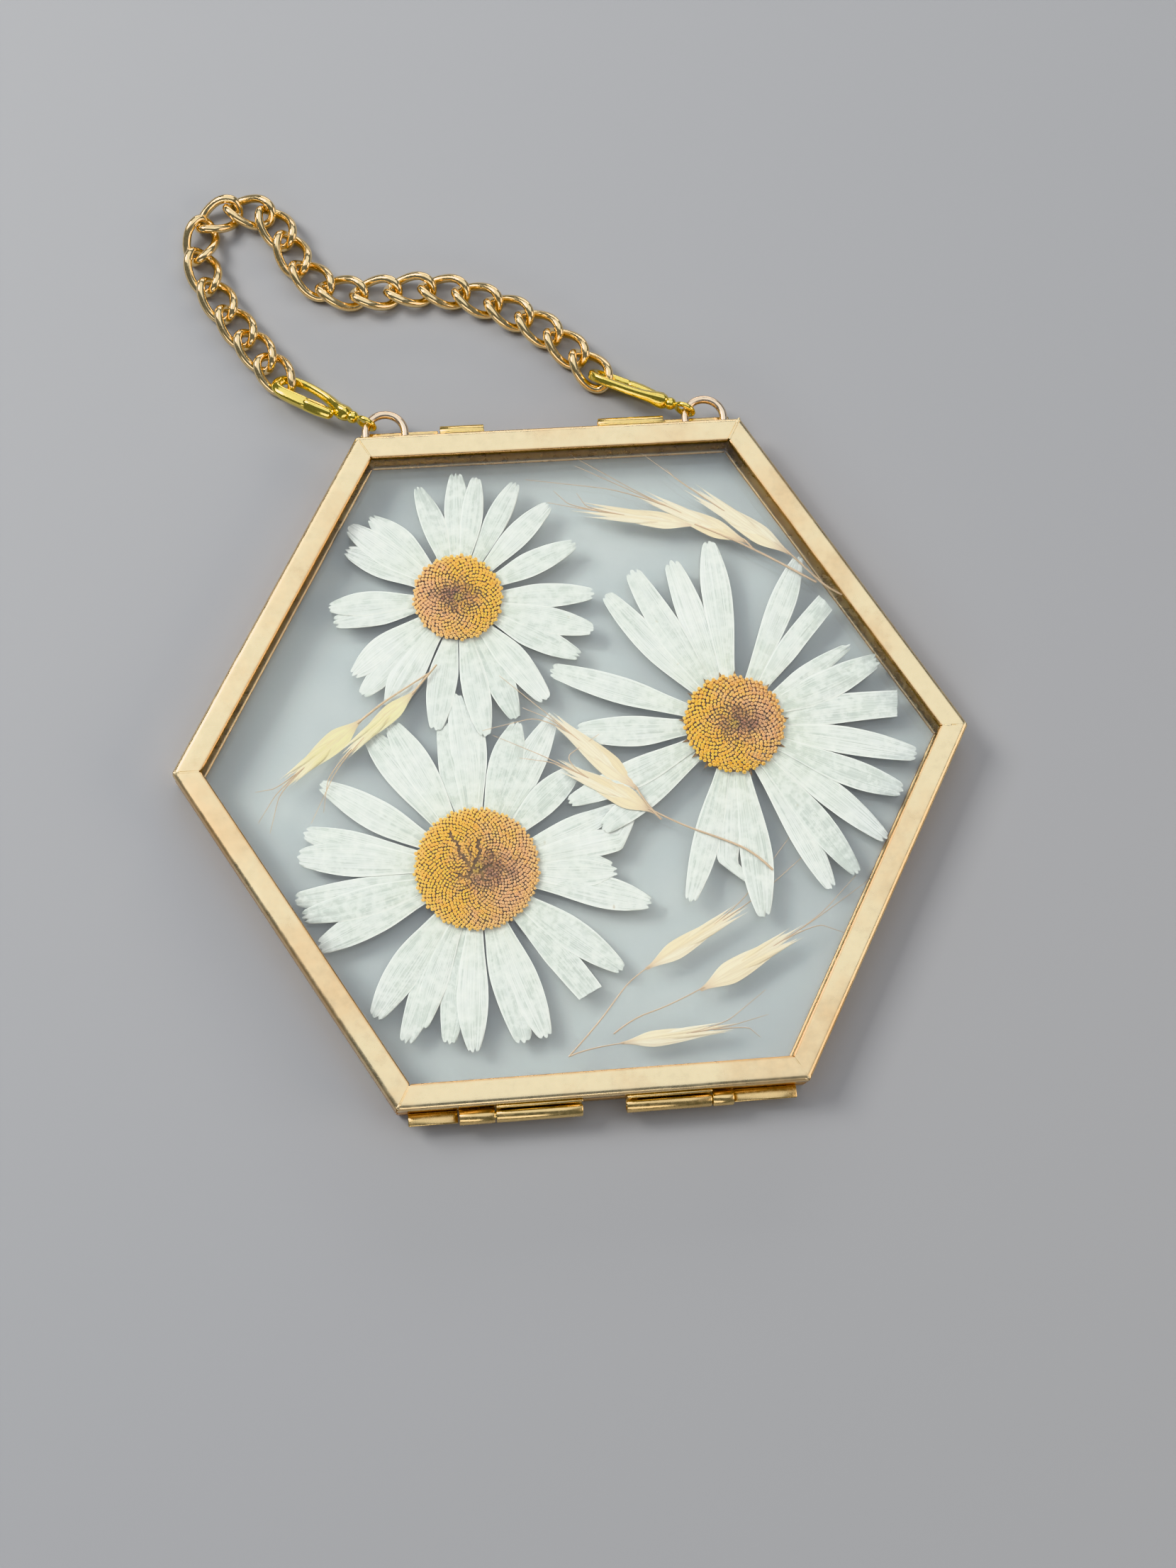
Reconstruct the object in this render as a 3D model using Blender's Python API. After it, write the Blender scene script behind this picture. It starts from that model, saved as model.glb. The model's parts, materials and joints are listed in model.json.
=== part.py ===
"""Pressed flower frame: a hexagonal brass double-pane locket frame on a curb chain.

Two hexagonal leaves, each a folded brass rim round its own pane, are hinged along the bottom
edge and caught by two sprung tabs on the top edge. Three pressed daisies and four sprigs of dry
grass are shut between the panes. Two half rings on the top edge carry swivel clasps, and a curb
chain runs from one clasp to the other. The frame lies on its back with the chain laid beyond it.

Lengths are written in millimetres and turned into metres as each mesh is made. The row's origin
is on the underside of the bottom rail, +Y runs up the frame and +Z out of its front.
"""
import math

import bmesh
import bpy
from mathutils import Matrix, Vector

MM = 0.001

# The hexagonal leaves
CORNER_RADIUS = 57.0
FLAT_RADIUS = CORNER_RADIUS * math.cos(math.pi / 6)
ORIGIN_TO_CENTRE = 47.5
LEAF_DEPTH = 3.2
LEAF_GAP = 0.2
FACE_WIDTH = 3.6
LIP_WIDTH = 1.8
SHEET = 0.5
PANE_THICKNESS = 2.0
PANE_CLEARANCE = 0.3
EDGE_ROUNDING = 0.4
FRAME_DEPTH = 2 * LEAF_DEPTH + LEAF_GAP
PANE_TO_FACE = (LEAF_DEPTH - PANE_THICKNESS) / 2

# The hinge on the bottom edge and the catch on the top edge
SOLDER_GAP = 0.05
STRIP = 0.4
KNUCKLE_RADIUS = 1.1
PIN_RADIUS = 0.5
PLATE_REACH = 2.4
HINGE_Z = FRAME_DEPTH / 2
HINGE_Y = -(FLAT_RADIUS + SOLDER_GAP + KNUCKLE_RADIUS)
TAB_RADIUS = 1.0
TAB_Z = 3.6
HINGE_LEDGE_REACH = 1.8
CATCH_LEDGE_REACH = 1.75
LEDGE_TOP = 2.9

# The half rings and the swivel clasps
RING_RADIUS = 2.9
RING_WIRE = 0.6
RING_CENTRES = {"left": -24.2, "right": 23.6}
RING_RISE = 1.5
RING_Z = LEDGE_TOP + SOLDER_GAP + RING_WIRE
EYE_RADIUS = 1.35
EYE_WIRE = 0.4
BALL_RADIUS = 0.95
BALL_REACH = 2.35
CLASP_HEADINGS = {"left": 148.0, "right": 152.0}
CLASP_ROLLS = {"left": 205.0, "right": 55.0}
CLASP_DIP = 5.5
# x along the clasp, y across it and the wire's radius; the lever runs from its tip to its pivot
HOOK_PATH = [
    (3.45, 0.0, 1.0), (4.4, 0.1, 1.0), (5.4, 0.5, 0.75), (7.0, 1.3, 0.6), (9.8, 1.85, 0.55),
    (12.8, 1.9, 0.55), (14.7, 1.2, 0.58), (15.1, -0.3, 0.62), (14.3, -1.65, 0.72),
    (12.0, -1.75, 0.8), (9.7, -1.7, 0.8),
]
GATE_PATH = [(9.4, -1.7, 0.8), (7.4, -1.65, 0.8), (5.6, -1.5, 0.7)]

# The curb chain, a heading for each link from the right clasp round to the left one
LINK_LENGTH = 8.3
LINK_WIDTH = 5.6
LINK_WIRE = 1.3
LINK_PITCH = 5.2
LINK_TWIST = 50.0
CHAIN_START = (8.9, 58.4)
CHAIN_Z = 1.75
LINK_HEADINGS = [
    128, 134, 143, 151, 157, 169, 182, 184, 166, 135,
    110, 122, 167, 212, 257, 287, 298, 303, 305, 305,
]
LINK_ROLLS = {19: 10, 20: 20}
LINK_LIFTS = {19: 0.15, 20: 0.35}

# The pressed flowers: centre, disc radius, disc height span, ray height span, then a heading,
# length and width for each petal
DAISIES = {
    "daisy_small": dict(
        centre=(-15.2, 24.3), disc=6.6, disc_z=(3.16, 3.9), rays_z=(2.95, 3.10),
        petals=[
            (359, 20.0, 3.7), (343, 20.3, 4.0), (330, 19.8, 4.0), (306, 20.0, 4.2), (291, 20.0, 4.2),
            (277, 21.2, 4.0), (257, 20.2, 4.3), (235, 19.5, 4.6), (223, 20.2, 4.0), (214, 19.2, 4.2),
            (188, 18.4, 3.6), (181, 18.8, 3.7), (152, 18.0, 4.2), (142, 19.4, 4.0), (132, 18.0, 4.2),
            (105, 18.3, 3.6), (87, 19.7, 3.7), (78, 19.1, 3.2), (61, 20.2, 3.4), (44, 20.0, 3.6),
            (23, 19.4, 3.8),
        ],
    ),
    "daisy_right": dict(
        centre=(23.3, 2.7), disc=7.4, disc_z=(3.43, 3.9), rays_z=(3.22, 3.37),
        petals=[
            (4, 24.3, 4.3), (21, 23.8, 4.5), (31, 21.0, 2.6), (49, 23.5, 3.2), (64, 28.0, 3.9),
            (92, 28.3, 4.4), (105, 26.5, 4.2), (118, 27.6, 4.2), (129, 26.9, 4.0), (159, 27.8, 4.0),
            (179, 23.0, 4.6), (202, 26.8, 4.2), (215, 24.8, 4.0), (251, 27.0, 3.9), (262, 24.8, 3.4),
            (273, 28.5, 4.6), (295, 27.6, 3.8), (304, 27.9, 4.0), (318, 27.4, 4.0), (334, 26.2, 4.2),
            (347, 27.0, 4.2),
        ],
    ),
    "daisy_large": dict(
        centre=(-15.2, -16.0), disc=8.9, disc_z=(2.91, 3.9), rays_z=(2.70, 2.85),
        petals=[
            (345, 25.2, 4.6), (321, 25.0, 4.6), (308, 23.7, 4.0), (288, 25.8, 4.6), (281, 25.5, 4.4),
            (265, 25.9, 4.4), (257, 25.0, 4.2), (247, 23.8, 3.5), (244, 26.5, 4.6), (232, 25.4, 4.8),
            (203, 24.7, 4.6), (192, 25.4, 4.2), (186, 25.9, 4.0), (172, 25.3, 5.0), (164, 25.0, 4.0),
            (147, 25.5, 4.6), (124, 25.7, 4.6), (116, 24.6, 4.4), (99, 22.0, 4.2), (93, 26.0, 4.0),
            (88, 24.4, 4.6), (71, 22.5, 4.8), (60, 25.1, 4.8), (42, 21.0, 4.4), (20, 22.5, 3.6),
            (8, 25.3, 3.8), (356, 19.8, 5.4),
        ],
    ),
}
RAY_STEPS = 132
RAY_SHOULDER = 0.72

# The grass sprigs: stems as lists of points, spikelets as base, tip and width
GRASSES = {
    "grass_top_pair": dict(
        z=(3.46, 3.86), stem_width=0.5,
        stems=[
            [(20.5, 33.6), (24.0, 31.9), (28.0, 29.7), (33.0, 26.6), (37.5, 23.6)],
            [(27.6, 30.8), (28.8, 29.2)],
        ],
        spikelets=[((21.0, 33.4), (2.6, 37.2), 2.6), ((28.0, 30.4), (12.2, 39.0), 3.0)],
    ),
    "grass_top_single": dict(
        z=(3.46, 3.86), stem_width=0.5,
        stems=[[(33.8, 28.6), (36.2, 26.0), (38.8, 22.8), (41.2, 21.4)]],
        spikelets=[((34.2, 28.2), (19.8, 39.6), 3.0)],
    ),
    "grass_left": dict(
        z=(3.46, 3.86), stem_width=0.5,
        stems=[
            [(-19.0, 14.2), (-20.6, 12.4), (-22.6, 10.2)],
            [(-20.2, 13.0), (-24.0, 10.8), (-27.4, 8.8), (-30.6, 6.3)],
        ],
        spikelets=[((-22.2, 10.6), (-34.0, 0.6), 2.6), ((-30.2, 6.7), (-42.2, -2.6), 3.2)],
    ),
    "grass_centre": dict(
        z=(3.46, 3.86), stem_width=0.5,
        stems=[
            [(8.2, -5.6), (9.6, -8.6), (11.4, -10.6)],
            [(9.8, -9.0), (14.0, -11.6), (20.2, -14.2), (24.4, -16.4), (26.6, -19.0)],
        ],
        spikelets=[((8.4, -6.0), (-3.8, 6.2), 3.2), ((10.6, -9.6), (-3.2, -1.0), 3.2)],
    ),
    "grass_bottom_pair": dict(
        z=(2.92, 3.16), stem_width=0.5,
        stems=[
            [(7.8, -31.6), (5.2, -33.2), (3.2, -35.4), (0.0, -39.2), (-4.2, -43.2)],
            [(3.4, -42.0), (-1.6, -42.3), (-4.3, -43.3)],
        ],
        spikelets=[((7.4, -31.9), (23.0, -23.6), 2.8), ((3.0, -42.0), (19.4, -40.8), 2.2)],
    ),
    "grass_bottom_single": dict(
        z=(2.92, 3.16), stem_width=0.5,
        stems=[[(15.4, -35.0), (10.0, -37.4), (5.0, -38.6), (2.2, -40.6)]],
        spikelets=[((14.8, -35.4), (30.4, -27.6), 3.2)],
    ),
}

FINISHES = {
    "brass": ((0.72, 0.55, 0.30), 0.32, 1.0),
    "bright_brass": ((0.83, 0.62, 0.20), 0.2, 1.0),
    "rose_gold": ((0.86, 0.60, 0.36), 0.22, 1.0),
    "clear_glass": ((0.94, 0.97, 0.96), 0.05, 0.0),
    "petal": ((0.82, 0.84, 0.80), 0.75, 0.0),
    "floret": ((0.85, 0.55, 0.08), 0.85, 0.0),
    "straw": ((0.78, 0.66, 0.42), 0.7, 0.0),
}


def clear_scene():
    for obj in list(bpy.data.objects):
        bpy.data.objects.remove(obj, do_unlink=True)


def make_material(finish):
    colour, roughness, metallic = FINISHES[finish]
    material = bpy.data.materials.new(finish)
    material.use_nodes = True
    shader = material.node_tree.nodes["Principled BSDF"]
    shader.inputs["Base Color"].default_value = (*colour, 1.0)
    shader.inputs["Roughness"].default_value = roughness
    shader.inputs["Metallic"].default_value = metallic
    return material


def place(obj, finish, parent=None):
    """Links an object, gives it its own material and hangs it on its body's pivot."""
    bpy.context.scene.collection.objects.link(obj)
    obj.data.materials.clear()
    obj.data.materials.append(make_material(finish))
    if parent is not None:
        obj.parent = parent
        obj.matrix_parent_inverse = Matrix.Translation(-parent.location)
    return obj


def frame_point(x, y, z):
    """A point measured in millimetres from the hexagon's centre, in the row's metres."""
    return Vector((x, y + ORIGIN_TO_CENTRE, z)) * MM


def mesh_object(name, mesh_edit, finish, parent=None, smooth=False):
    """Turns an edit mesh in millimetres from the hexagon's centre into a finished object."""
    bmesh.ops.scale(mesh_edit, vec=(MM, MM, MM), verts=mesh_edit.verts)
    bmesh.ops.translate(mesh_edit, vec=(0, ORIGIN_TO_CENTRE * MM, 0), verts=mesh_edit.verts)
    bmesh.ops.recalc_face_normals(mesh_edit, faces=mesh_edit.faces)
    mesh = bpy.data.meshes.new(name)
    mesh_edit.to_mesh(mesh)
    mesh_edit.free()
    if smooth:
        mesh.shade_smooth()
        mesh.set_sharp_from_angle(angle=math.radians(40))
    return place(bpy.data.objects.new(name, mesh), finish, parent)


def spun_solid(mesh_edit, profile, steps):
    """Spins a closed profile of (radius, z) points about the Z axis."""
    verts = [mesh_edit.verts.new((radius, 0, z)) for radius, z in profile]
    count = len(verts)
    edges = [mesh_edit.edges.new((verts[i], verts[(i + 1) % count])) for i in range(count)]
    bmesh.ops.spin(
        mesh_edit, geom=verts + edges, cent=(0, 0, 0), axis=(0, 0, 1),
        angle=math.tau, steps=steps, use_merge=True,
    )
    bmesh.ops.remove_doubles(mesh_edit, verts=mesh_edit.verts, dist=0.001)


def prism(mesh_edit, outline, low, high):
    """Extrudes a flat outline of (x, y) points from the height low to the height high."""
    verts = [mesh_edit.verts.new((x, y, low)) for x, y in outline]
    face = mesh_edit.faces.new(verts)
    made = bmesh.ops.extrude_face_region(mesh_edit, geom=[face])
    top = [item for item in made["geom"] if isinstance(item, bmesh.types.BMVert)]
    bmesh.ops.translate(mesh_edit, vec=(0, 0, high - low), verts=top)


def run_along_x(name, section, start, end, finish, parent=None):
    """Extrudes a section of (y, z) points along X, as a strip of folded or rolled sheet."""
    mesh_edit = bmesh.new()
    prism(mesh_edit, section, start, end)
    turn = Matrix(((0, 0, 1), (1, 0, 0), (0, 1, 0)))
    bmesh.ops.transform(mesh_edit, matrix=turn.to_4x4(), verts=mesh_edit.verts)
    return mesh_object(name, mesh_edit, finish, parent)


def wire(name, points, radii, sides, finish, parent=None, cyclic=False, smooth_steps=0):
    """A round wire through points in millimetres, from a bevelled curve."""
    curve = bpy.data.curves.new(name, "CURVE")
    curve.dimensions = "3D"
    curve.bevel_depth = MM
    curve.bevel_resolution = (sides - 4) // 2
    curve.use_fill_caps = not cyclic
    spline = curve.splines.new("NURBS" if smooth_steps else "POLY")
    spline.points.add(len(points) - 1)
    for point, place_mm, radius in zip(spline.points, points, radii):
        point.co = (*frame_point(*place_mm), 1.0)
        point.radius = radius
    spline.use_cyclic_u = cyclic
    if smooth_steps:
        spline.order_u = 3
        spline.use_endpoint_u = not cyclic
        curve.resolution_u = smooth_steps
    return place(bpy.data.objects.new(name, curve), finish, parent)


def leaf_profile(face_z, inward):
    """The folded rim's section: wide face, outer wall and narrow lip round the pane."""
    corner = EDGE_ROUNDING
    depths = [
        (0, corner), (corner * 0.3, corner * 0.3), (corner, 0), (FACE_WIDTH, 0),
        (FACE_WIDTH, SHEET), (SHEET, SHEET), (SHEET, LEAF_DEPTH - SHEET),
        (LIP_WIDTH, LEAF_DEPTH - SHEET), (LIP_WIDTH, LEAF_DEPTH), (0, LEAF_DEPTH),
    ]
    to_corner = 1 / math.cos(math.pi / 6)
    return [((FLAT_RADIUS - inset) * to_corner, face_z + inward * depth) for inset, depth in depths]


def build_leaf(side, face_z, inward, parent):
    """One leaf: the folded brass rim and the pane that it holds."""
    rim = bmesh.new()
    spun_solid(rim, leaf_profile(face_z, inward), 6)
    mesh_object(f"{side}_rim", rim, "brass", parent)
    pane = bmesh.new()
    radius = (FLAT_RADIUS - SHEET - PANE_CLEARANCE) / math.cos(math.pi / 6)
    outline = [
        (radius * math.cos(math.radians(60 * k)), radius * math.sin(math.radians(60 * k)))
        for k in range(6)
    ]
    near = face_z + inward * PANE_TO_FACE
    far = face_z + inward * (PANE_TO_FACE + PANE_THICKNESS)
    prism(pane, outline, min(near, far), max(near, far))
    mesh_object(f"{side}_glass", pane, "clear_glass", parent)


def rolled_section(edge, roll_z, roll_radius, plate_end):
    """A strip soldered on the wall at edge (+1 top, -1 bottom) and rolled into a knuckle.

    The plate runs from the height plate_end to roll_z and then curls away from the wall.
    """
    bend = roll_radius - STRIP / 2
    wall = edge * (FLAT_RADIUS + SOLDER_GAP)
    axis = wall + edge * roll_radius
    start = -edge * 1.0
    upward = 1 if plate_end > roll_z else -1
    outer = []
    inner = []
    for step in range(11):
        angle = math.radians(29 * step)
        across = start * math.cos(angle)
        along = -upward * math.sin(angle)
        for points, radius in ((outer, bend + STRIP / 2), (inner, bend - STRIP / 2)):
            points.append((axis + across * radius, roll_z + along * radius))
    plate_outer = (wall, plate_end)
    plate_inner = (wall + edge * STRIP, plate_end)
    return [plate_outer] + outer + inner[::-1] + [plate_inner]


def ledge_section(edge, reach):
    """A strip folded outwards into a narrow ledge along the back leaf's wall."""
    wall = edge * (FLAT_RADIUS + SOLDER_GAP)
    low = LEDGE_TOP - PLATE_REACH + SHEET
    return [
        (wall, low), (wall + edge * STRIP, low), (wall + edge * STRIP, LEDGE_TOP - STRIP),
        (wall + edge * reach, LEDGE_TOP - STRIP), (wall + edge * reach, LEDGE_TOP),
        (wall, LEDGE_TOP),
    ]


def build_hinge(front_pivot):
    """Two pinned hinge halves on the bottom edge, with a plain ledge outside each of them."""
    front = rolled_section(-1, HINGE_Z, KNUCKLE_RADIUS, HINGE_Z + PLATE_REACH)
    back = rolled_section(-1, HINGE_Z, KNUCKLE_RADIUS, HINGE_Z - PLATE_REACH)
    ledge = ledge_section(-1, HINGE_LEDGE_REACH)
    corner = -CORNER_RADIUS / 2
    run_along_x("hinge_ledge_left", ledge, corner + 1.5, corner + 8.3, "brass")
    run_along_x("hinge_knuckle_back_left", back, corner + 8.5, corner + 13.4, "brass")
    run_along_x("hinge_knuckle_front_left", front, corner + 13.6, corner + 25.5, "brass", front_pivot)
    run_along_x("hinge_knuckle_front_right", front, corner + 31.6, corner + 43.4, "brass", front_pivot)
    run_along_x("hinge_knuckle_back_right", back, corner + 43.6, corner + 46.5, "brass")
    run_along_x("hinge_ledge_right", ledge, corner + 46.7, corner + 55.5, "brass")
    for side, start, end in (("left", 8.7, 25.3), ("right", 31.8, 46.3)):
        pin_points = [(corner + x, HINGE_Y, HINGE_Z) for x in (start, end)]
        wire(f"hinge_pin_{side}", pin_points, [PIN_RADIUS] * 2, 10, "bright_brass")


def build_catch(front_pivot):
    """Two ledges on the back leaf's top edge, and two rolled tabs on the front leaf's."""
    tab = rolled_section(1, TAB_Z, TAB_RADIUS, HINGE_Z + PLATE_REACH)
    ledge = ledge_section(1, CATCH_LEDGE_REACH)
    corner = -CORNER_RADIUS / 2
    run_along_x("catch_ledge_left", ledge, corner + 0.7, corner + 12.1, "brass")
    run_along_x("catch_tab_left", tab, corner + 12.4, corner + 18.9, "bright_brass", front_pivot)
    run_along_x("catch_tab_right", tab, corner + 36.0, corner + 45.8, "bright_brass", front_pivot)
    run_along_x("catch_ledge_right", ledge, corner + 46.1, corner + 55.9, "brass")


def build_ring(side):
    """A half ring of wire, soldered down on the ledge by its two short legs."""
    centre_x = RING_CENTRES[side]
    foot = FLAT_RADIUS + 2 * SOLDER_GAP
    spring_y = FLAT_RADIUS + RING_RISE
    points = [(centre_x + RING_RADIUS, foot, RING_Z)]
    for step in range(11):
        angle = math.radians(18 * step)
        x = centre_x + RING_RADIUS * math.cos(angle)
        points.append((x, spring_y + RING_RADIUS * math.sin(angle), RING_Z))
    points.append((centre_x - RING_RADIUS, foot, RING_Z))
    wire(f"ring_{side}", points, [RING_WIRE] * len(points), 8, "rose_gold")


def clasp_frame(side):
    """The clasp's own axes: +X from the ring to the far end, in the plane that it lies in."""
    heading = math.radians(CLASP_HEADINGS[side])
    reach = RING_RADIUS + 0.3
    eye = Vector((
        RING_CENTRES[side] + reach * math.cos(heading),
        FLAT_RADIUS + RING_RISE + reach * math.sin(heading),
        RING_Z,
    ))
    dip = Matrix.Rotation(math.radians(CLASP_DIP), 4, "Y")
    roll = Matrix.Rotation(math.radians(CLASP_ROLLS[side]), 4, "X")
    upright = Matrix.Translation(eye) @ Matrix.Rotation(heading, 4, "Z") @ dip
    return upright, upright @ roll


def build_swivel(side, upright):
    """The swivel: an eye of wire round the ring, united with the ball that the hook turns on."""
    eye = bmesh.new()
    bmesh.ops.create_circle(eye, segments=8, radius=EYE_WIRE)
    on_edge = Matrix.Rotation(math.radians(90), 4, "X")
    bmesh.ops.transform(eye, matrix=on_edge, verts=eye.verts)
    bmesh.ops.translate(eye, vec=(EYE_RADIUS, 0, 0), verts=eye.verts)
    bmesh.ops.spin(
        eye, geom=eye.verts[:] + eye.edges[:], cent=(0, 0, 0), axis=(0, 0, 1),
        angle=math.tau, steps=16, use_merge=True,
    )
    bmesh.ops.remove_doubles(eye, verts=eye.verts, dist=0.001)
    bmesh.ops.transform(eye, matrix=upright @ on_edge, verts=eye.verts)
    swivel = mesh_object(f"clasp_{side}_swivel", eye, "bright_brass")
    ball = bmesh.new()
    bmesh.ops.create_uvsphere(ball, u_segments=12, v_segments=8, radius=BALL_RADIUS)
    bmesh.ops.transform(ball, matrix=upright @ Matrix.Translation((BALL_REACH, 0, 0)), verts=ball.verts)
    join_piece(swivel.name, swivel, mesh_object("ball", ball, "bright_brass"))


def build_clasp(side):
    """A swivel clasp: the eye and ball on the ring, the hook, and the lever that shuts it."""
    upright, rolled = clasp_frame(side)
    build_swivel(side, upright)
    pivot = bpy.data.objects.new(f"clasp_{side}_gate_pivot", None)
    pivot.location = frame_point(*(rolled @ Vector((*GATE_PATH[-1][:2], 0))))
    bpy.context.scene.collection.objects.link(pivot)
    for piece, path, parent in (("hook", HOOK_PATH, None), ("gate", GATE_PATH, pivot)):
        points = [rolled @ Vector((x, y, 0)) for x, y, radius in path]
        radii = [radius for x, y, radius in path]
        steps = 3 if piece == "hook" else 0
        wire(f"clasp_{side}_{piece}", points, radii, 8, "bright_brass", parent, smooth_steps=steps)


def link_curve():
    """The centre line of one curb link: a long oval, twisted evenly from end to end."""
    half_length = (LINK_LENGTH - LINK_WIRE) / 2
    half_width = (LINK_WIDTH - LINK_WIRE) / 2
    points = []
    for step in range(14):
        angle = math.tau * step / 14
        cosine = math.cos(angle)
        sine = math.sin(angle)
        x = half_length * math.copysign(abs(cosine) ** 0.8, cosine)
        y = half_width * math.copysign(abs(sine) ** 0.8, sine)
        twist = math.radians(LINK_TWIST) * x / half_length
        points.append(Vector((x, y * math.cos(twist), y * math.sin(twist))))
    curve = bpy.data.curves.new("chain_link", "CURVE")
    curve.dimensions = "3D"
    curve.bevel_depth = LINK_WIRE / 2 * MM
    curve.bevel_resolution = 1
    spline = curve.splines.new("POLY")
    spline.points.add(len(points) - 1)
    for point, centre in zip(spline.points, points):
        point.co = (*(centre * MM), 1.0)
    spline.use_cyclic_u = True
    return curve


def build_chain():
    """The links, laid end to end along their headings on the surface beyond the frame."""
    shape = link_curve()
    shape.materials.append(make_material("rose_gold"))
    x, y = CHAIN_START
    for number, heading in enumerate(LINK_HEADINGS, start=1):
        angle = math.radians(heading)
        middle_x = x + LINK_PITCH / 2 * math.cos(angle)
        middle_y = y + LINK_PITCH / 2 * math.sin(angle)
        link = bpy.data.objects.new(f"chain_link_{number:02d}", shape)
        link.location = frame_point(middle_x, middle_y, CHAIN_Z + LINK_LIFTS.get(number, 0))
        link.rotation_euler = (math.radians(LINK_ROLLS.get(number, 0)), 0, angle)
        bpy.context.scene.collection.objects.link(link)
        x += LINK_PITCH * math.cos(angle)
        y += LINK_PITCH * math.sin(angle)


def ray_radius(angle, disc, petals):
    """How far the pressed rays reach at an angle: the furthest petal that covers it."""
    reach = disc + 0.6
    for heading, length, width in petals:
        away = abs((angle - heading + 180) % 360 - 180)
        half_angle = math.degrees(math.asin(width / 2 / (RAY_SHOULDER * length)))
        if away < half_angle:
            lobe = math.sqrt(1 - (away / half_angle) ** 3)
            reach = max(reach, disc + (length - disc) * lobe)
    return reach


def build_daisy(name, centre, disc, disc_z, rays_z, petals):
    """A pressed daisy: the flat spread of its rays, with the yellow disc lying on them."""
    rays = bmesh.new()
    outline = []
    for step in range(RAY_STEPS):
        degrees = 360 * step / RAY_STEPS
        reach = ray_radius(degrees, disc, petals)
        angle = math.radians(degrees)
        outline.append((centre[0] + reach * math.cos(angle), centre[1] + reach * math.sin(angle)))
    prism(rays, outline, *rays_z)
    mesh_object(f"{name}_rays", rays, "petal")
    low, high = disc_z
    rise = high - low
    profile = [
        (0, low), (disc * 0.97, low), (disc, low + 0.4 * rise), (disc * 0.93, low + 0.85 * rise),
        (disc * 0.8, high), (0, high),
    ]
    centre_disc = bmesh.new()
    spun_solid(centre_disc, profile, 24)
    bmesh.ops.translate(centre_disc, vec=(*centre, 0), verts=centre_disc.verts)
    mesh_object(f"{name}_disc", centre_disc, "floret", smooth=True)


def stem_outline(points, width):
    """A narrow ribbon along a stem's points."""
    left = []
    right = []
    for index, point in enumerate(points):
        before = Vector(points[max(index - 1, 0)])
        after = Vector(points[min(index + 1, len(points) - 1)])
        direction = (after - before).normalized()
        side = Vector((-direction.y, direction.x)) * width / 2
        left.append(tuple(Vector(point) + side))
        right.append(tuple(Vector(point) - side))
    return left + right[::-1]


def spikelet_outline(base, tip, width):
    """A slender spindle from a spikelet's base to its tip, widest a third of the way up."""
    start = Vector(base)
    along = Vector(tip) - start
    side = Vector((-along.y, along.x)).normalized() * width / 2
    shape = [(0.0, 0.14), (0.16, 0.7), (0.36, 1.0), (0.62, 0.8), (0.86, 0.4), (1.0, 0.1)]
    left = [tuple(start + along * along_part + side * wide) for along_part, wide in shape]
    right = [tuple(start + along * along_part - side * wide) for along_part, wide in shape]
    return left + right[::-1]


def build_grass(name, z, stem_width, stems, spikelets):
    """One dry sprig, grown as one piece: its stems and spikelets pressed flat."""
    low, high = z
    inset = 0.04
    body = None
    for outline in [spikelet_outline(*spikelet) for spikelet in spikelets]:
        blade = bmesh.new()
        prism(blade, outline, low, high)
        body = join_piece(name, body, mesh_object(name, blade, "straw"))
    for number, points in enumerate(stems, start=1):
        stem = bmesh.new()
        margin = inset * number
        prism(stem, stem_outline(points, stem_width), low + margin, high - margin)
        body = join_piece(name, body, mesh_object(name, stem, "straw"))
    body.name = name


def join_piece(name, body, piece):
    """Unites a piece with the body so far, keeping the piece as a hidden guide."""
    if body is None:
        return piece
    piece.name = f"{name}_guide_{len(body.modifiers) + 1}"
    piece.hide_render = True
    piece.display_type = "WIRE"
    union = body.modifiers.new(piece.name, "BOOLEAN")
    union.operation = "UNION"
    union.object = piece
    return body


def build_frame():
    clear_scene()
    front_pivot = bpy.data.objects.new("front_leaf_pivot", None)
    front_pivot.location = frame_point(0, HINGE_Y, HINGE_Z)
    bpy.context.scene.collection.objects.link(front_pivot)
    build_leaf("back", 0.0, 1, None)
    build_leaf("front", FRAME_DEPTH, -1, front_pivot)
    build_hinge(front_pivot)
    build_catch(front_pivot)
    for side in ("left", "right"):
        build_ring(side)
        build_clasp(side)
    build_chain()
    for name, values in DAISIES.items():
        build_daisy(name, **values)
    for name, values in GRASSES.items():
        build_grass(name, **values)


build_frame()
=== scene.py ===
import json
import math
import random

import bmesh
import bpy
from mathutils import Matrix, Vector, noise


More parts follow.
